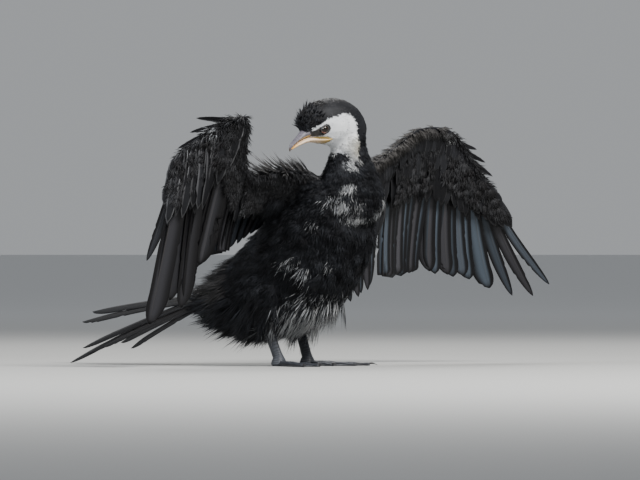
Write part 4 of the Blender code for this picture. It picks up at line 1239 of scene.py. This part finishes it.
# The eyes: a glossy ball with a dark brown iris round a black pupil, and round it the rim of the lids,
# a ring of small beads of grey skin that is brown below the front.
LID_LENGTH, LID_HEIGHT, LID_THICKNESS = 4.1, 3.6, 0.75
LID_OUT = 16.5
glass = Finish("eye", 0.08, 0.25)
glass.shader.inputs["Coat Weight"].default_value = 0.25
away = glass.attribute("away")
iris = glass.mix(glass.noise(1500, 2), (0.008, 0.005, 0.003), (0.026, 0.014, 0.007))
glass.feed("Base Color", glass.mix(away.step(1.5, 1.75), (0.001, 0.001, 0.001), iris))
lid_skin = Finish("lids", 0.5, 0.4)
low_front = lid_skin.attribute("low_front")
beads = lid_skin.noise(900, 2)
grey = lid_skin.mix(beads, (0.010, 0.010, 0.011), (0.050, 0.050, 0.053))
lid_skin.feed("Base Color", lid_skin.mix(low_front, grey, (0.17, 0.055, 0.030)))
lid_skin.bump(beads, 0.6, 0.0005)
for side, sign in (("left", 1), ("right", -1)):
    outward = (HEAD_LEFT * sign + HEAD_FORWARD * 0.25).normalized()
    ahead = (HEAD_FORWARD - outward * HEAD_FORWARD.dot(outward)).normalized()
    turn = Matrix((ahead, outward.cross(ahead), outward)).transposed().to_4x4()
    centre = in_head(EYE_AT[0], EYE_AT[1], EYE_AT[2] * sign)
    bpy.ops.object.select_all(action="DESELECT")
    bpy.ops.mesh.primitive_uv_sphere_add(segments=40, ring_count=36, radius=EYE_RADIUS * MM)
    ball = bpy.context.object
    ball.name = ball.data.name = f"eyeball_{side}"
    points = read(ball.data.vertices, "co", 3) / MM
    hold(ball.data, "away", np.where(points[:, 2] > 0, np.hypot(points[:, 0], points[:, 1]), 5.0))
    ball.data.transform(Matrix.Translation(centre) @ turn)
    ball.data.shade_smooth()
    finished(ball, glass, "eye", f"eye_{side}")
    bpy.ops.object.select_all(action="DESELECT")
    bpy.ops.mesh.primitive_torus_add(
        major_segments=64, minor_segments=14, major_radius=1, minor_radius=LID_THICKNESS / LID_LENGTH,
    )
    lids = bpy.context.object
    lids.name = lids.data.name = f"lids_{side}"
    points = read(lids.data.vertices, "co", 3)
    hold(lids.data, "low_front", np.clip(points[:, 0] * 1.3 + points[:, 1] * sign * 1.8 - 1.5, 0, 1))
    lids.data.transform(Matrix.Diagonal((LID_LENGTH * MM, LID_HEIGHT * MM, LID_LENGTH * MM, 1)))
    lids.data.transform(Matrix.Translation(centre + outward * (LID_OUT - EYE_AT[2]) * MM) @ turn)
    lids.data.shade_smooth()
    finished(lids, lid_skin, "leg_skin")


# The legs. The tarsi are bare slate skin, ringed in front with overlapping scutes. Each foot has four
# toes with a scute over every joint, webs of creased skin between them, and dark horn claws. They stand
# flat on the floor.
SHANK = (  # out, back, height, half width and half depth
    (29, 20, 52, 3.9, 4.9), (29, 17, 40, 5.1, 6.7), (28.1, 13.4, 30, 4.1, 5.8), (26.8, 8, 15.3, 4.0, 5.6),
    (26, 5, 7.5, 4.8, 6.2), (26, 4.4, 3.5, 5.6, 7.0),
)
SHANK_SLANT = Vector((0, -0.35, -1)).normalized()
SHANK_RINGS, TOE_RINGS, CLAW_RINGS, BALL_RINGS = 110, 96, 22, 40
SOLE = (26, 5)
TOE_SPLAY = math.radians(8)
TOES = ((-24, 66, 6.6), (0, 58, 6.4), (25, 43, 6.0), (56, 20, 4.8))  # turn, length, and height at the root
TOE_HALF_WIDTH = 3.1
TOE_SECTIONS = (  # share of the length, height and width as shares, and lift off the floor
    (-0.02, 0.9, 1.0, 1.2), (0.14, 0.86, 0.95, 0.9), (0.36, 0.8, 1.12, 0.0), (0.5, 0.62, 0.9, 0.0),
    (0.68, 0.66, 1.0, 0.0), (0.84, 0.5, 0.82, 0.0), (0.97, 0.5, 0.86, 0.0), (1.0, 0.34, 0.6, 0.25),
)
CLAW_SECTIONS = (  # share of the length, height, and size
    (-0.35, 1.7, 1.3), (0.15, 2.5, 1.25), (0.6, 2.1, 0.8), (1.0, 0.7, 0.25),
)
CLAW_LENGTH = 8.0
BALL = ((0.0, 6.4), (2.2, 8.0), (5.5, 7.4), (8.5, 6.2), (10.5, 4.6))  # height and radius
WEB_REACH = 0.93
WEB_HOLLOW = 0.16
scaly = Finish("leg_skin", 0.45, 0.35)
# relief_shading is painted light: dark in the grooves between scutes and in the hollows of folds, where shade
# falls, and light on their raised edges as a painted highlight.
relief_shading = scaly.attribute("relief_shading")
grain = scaly.noise(700, 3)
cloud = scaly.noise(90, 2)
dark = scaly.mix(cloud, (0.007, 0.0075, 0.009), (0.016, 0.017, 0.021))
light = scaly.mix(cloud, (0.050, 0.056, 0.070), (0.115, 0.124, 0.145))
scaly.feed("Base Color", scaly.mix((relief_shading * 0.75 + grain * 0.5 - 0.25).clamp(), dark, light))
scaly.feed("Roughness", grain * 0.2 + 0.38)
scaly.bump(grain, 0.5, 0.0003)
horn = Finish("claw", 0.28, 0.5)
_, along = horn.chart("form")
horn.feed("Base Color", horn.mix(along, (0.050, 0.048, 0.050), (0.008, 0.008, 0.009)))


def toe_way(turn, sign):
    angle = (TOE_SPLAY - math.radians(turn)) * sign
    return Vector((math.sin(angle), -math.cos(angle), 0))


def scaled(name, levels, corners, skin_at):
    """A form of scaly skin over rings. skin_at gives a corner's place, and how light the skin is painted
    there: painted shade in the grooves, painted highlight on the raised edges.
    """
    rings, relief_shadings = [], []
    for i in range(levels):
        spots = [skin_at(i, corner, 2 * math.pi * corner / corners) for corner in range(corners)]
        rings.append([place for place, _ in spots])
        relief_shadings += [relief_shading for _, relief_shading in spots]
    piece = loft(name, rings)
    hold(piece.data, "relief_shading", relief_shadings)
    return piece


def shank_form(sign):
    """The scutes are steps in front that lap downwards."""
    front = (Vector((0, -1, 0)) - SHANK_SLANT * SHANK_SLANT.dot(Vector((0, -1, 0)))).normalized()

    def skin_at(i, corner, angle):
        out, back, height, wide, deep = key_values(SHANK, i / (SHANK_RINGS - 1))
        lap = (i / (SHANK_RINGS - 1) * 22) % 1
        ahead = max(math.sin(angle), 0) ** 0.5
        small = 0.5 + 0.5 * math.sin(i * 1.2 + (corner % 2) * 3)
        grown = 1 + 0.07 * ahead * lap**1.5 + 0.02 * (1 - ahead) * small
        beside = Vector((wide * math.cos(angle), 0, 0))
        place = at(out * sign, back, height) + (beside + front * deep * math.sin(angle)) * grown * MM
        # Lighter on each scute's raised lower edge, painted shade in the step under it.
        return place, ahead * lap + (1 - ahead) * small * 0.6

    return scaled("shank_form", SHANK_RINGS, 28, skin_at)


def toe_form(root, ahead, across, length, height):
    def skin_at(i, corner, angle):
        share, tall, wide, lift = key_values(TOE_SECTIONS, i / (TOE_RINGS - 1))
        lap = (i / (TOE_RINGS - 1) * length * 0.42) % 1
        half, top = TOE_HALF_WIDTH * wide, height * tall
        c, s = math.cos(angle), math.sin(angle)
        if s >= 0:
            high = top * (0.35 + 0.65 * s**0.9) + 0.34 * lap**1.5 * s
        else:
            high = top * 0.35 * max(1 + 1.5 * s, 0) - lift * s
        middle = root + ahead * length * share * MM
        place = middle + (across * half * c * (1 - 0.2 * max(s, 0)) + Vector((0, 0, high))) * MM
        # Lighter on each scute's raised edge, painted shade in the step behind it.
        return place, max(s, 0) * lap + (s < 0) * 0.4

    return scaled("toe_form", TOE_RINGS, 18, skin_at)


def claw_form(root, ahead, across, length):
    rings = []
    for i in range(CLAW_RINGS):
        share, height, size = key_values(CLAW_SECTIONS, i / (CLAW_RINGS - 1))
        middle = root + (ahead * (length + CLAW_LENGTH * share) + Vector((0, 0, height))) * MM
        high, low = Vector((0, 0, size * MM)), Vector((0, 0, -size * 0.7 * MM))
        rings.append(oval(middle, across * size * 0.8 * MM, high, low, 14))
    return loft("claw_form", rings)


def ball_form(root):
    def skin_at(i, corner, angle):
        height, radius = key_values(BALL, i / (BALL_RINGS - 1))
        fold = 0.5 + 0.5 * math.sin(i * 1.1 + 2 * math.sin(angle * 2) + 0.7 * math.sin(angle * 5))
        far = radius * (1 + 0.035 * fold * min(1, i / 8))
        # Painted shade in the hollows of the folds, lighter on their ridges.
        return root + Vector((far * math.cos(angle), far * math.sin(angle), height)) * MM, fold

    return scaled("ball_form", BALL_RINGS, 40, skin_at)


def web_form(root, sign, first, second):
    """A plate between two toes, its upper side in folds that run out along them and rise to meet them."""
    a, r = np.meshgrid(np.linspace(0, 1, 49), np.linspace(0.02, 1, 40))
    turn = (TOE_SPLAY - np.radians(first[0] + (second[0] - first[0]) * a)) * sign
    far = (first[1] + (second[1] - first[1]) * a) * WEB_REACH * (1 - WEB_HOLLOW * np.sin(np.pi * a)) * r
    flat = np.stack([np.sin(turn) * far, -np.cos(turn) * far, np.zeros_like(far)], axis=-1)
    fold = 0.5 + 0.5 * np.sin(a * 44 + 2.0 * np.sin(r * 7) + r * 4)
    cross_fold = 0.5 + 0.5 * np.sin(r * 60 + 3 * np.sin(a * 9))
    thick = 0.9 + 1.5 * (1 - np.sin(np.pi * a)) ** 2 * (1 - 0.5 * r)
    thick = thick + 0.5 * fold * np.minimum(1, r * 2) + 0.14 * cross_fold
    top = flat + np.stack([far * 0, far * 0, thick], axis=-1)
    bottom = flat + np.array((0, 0, 0.3))
    points = np.concatenate([top.reshape(-1, 3), bottom.reshape(-1, 3)]) * MM + np.array(root)
    mesh = mesh_of("web_form", points, plate_faces(*a.shape))
    # Painted shade in the hollows of the folds; the underside is painted darker still.
    marks = (fold * 0.55 + cross_fold * 0.2).ravel()
    hold(mesh, "relief_shading", np.concatenate([marks, marks * 0.5]))
    return linked("web_form", mesh)


def joined(name, forms):
    selected(*forms)
    bpy.ops.object.join()
    forms[0].name = forms[0].data.name = name
    turned_out(forms[0].data)
    return forms[0]


for side, sign in (("left", 1), ("right", -1)):
    root = at(SOLE[0] * sign, SOLE[1], 0)
    skins, claws = [ball_form(root)], []
    for turn, length, height in TOES:
        ahead = toe_way(turn, sign)
        across = Vector((-ahead.y, ahead.x, 0))
        skins.append(toe_form(root, ahead, across, length, height))
        claws.append(claw_form(root, ahead, across, length))
    finished(joined(f"toes_{side}", skins), scaly, "leg_skin", f"foot_{side}")
    webs = [web_form(root, sign, first, second) for first, second in zip(TOES, TOES[1:])]
    finished(joined(f"webs_{side}", webs), scaly, "leg_skin")
    finished(joined(f"claws_{side}", claws), horn, "leg_skin")
    shank = shank_form(sign)
    shank.name = shank.data.name = f"tarsus_{side}"
    finished(shank, scaly, "leg_skin", f"shank_{side}")
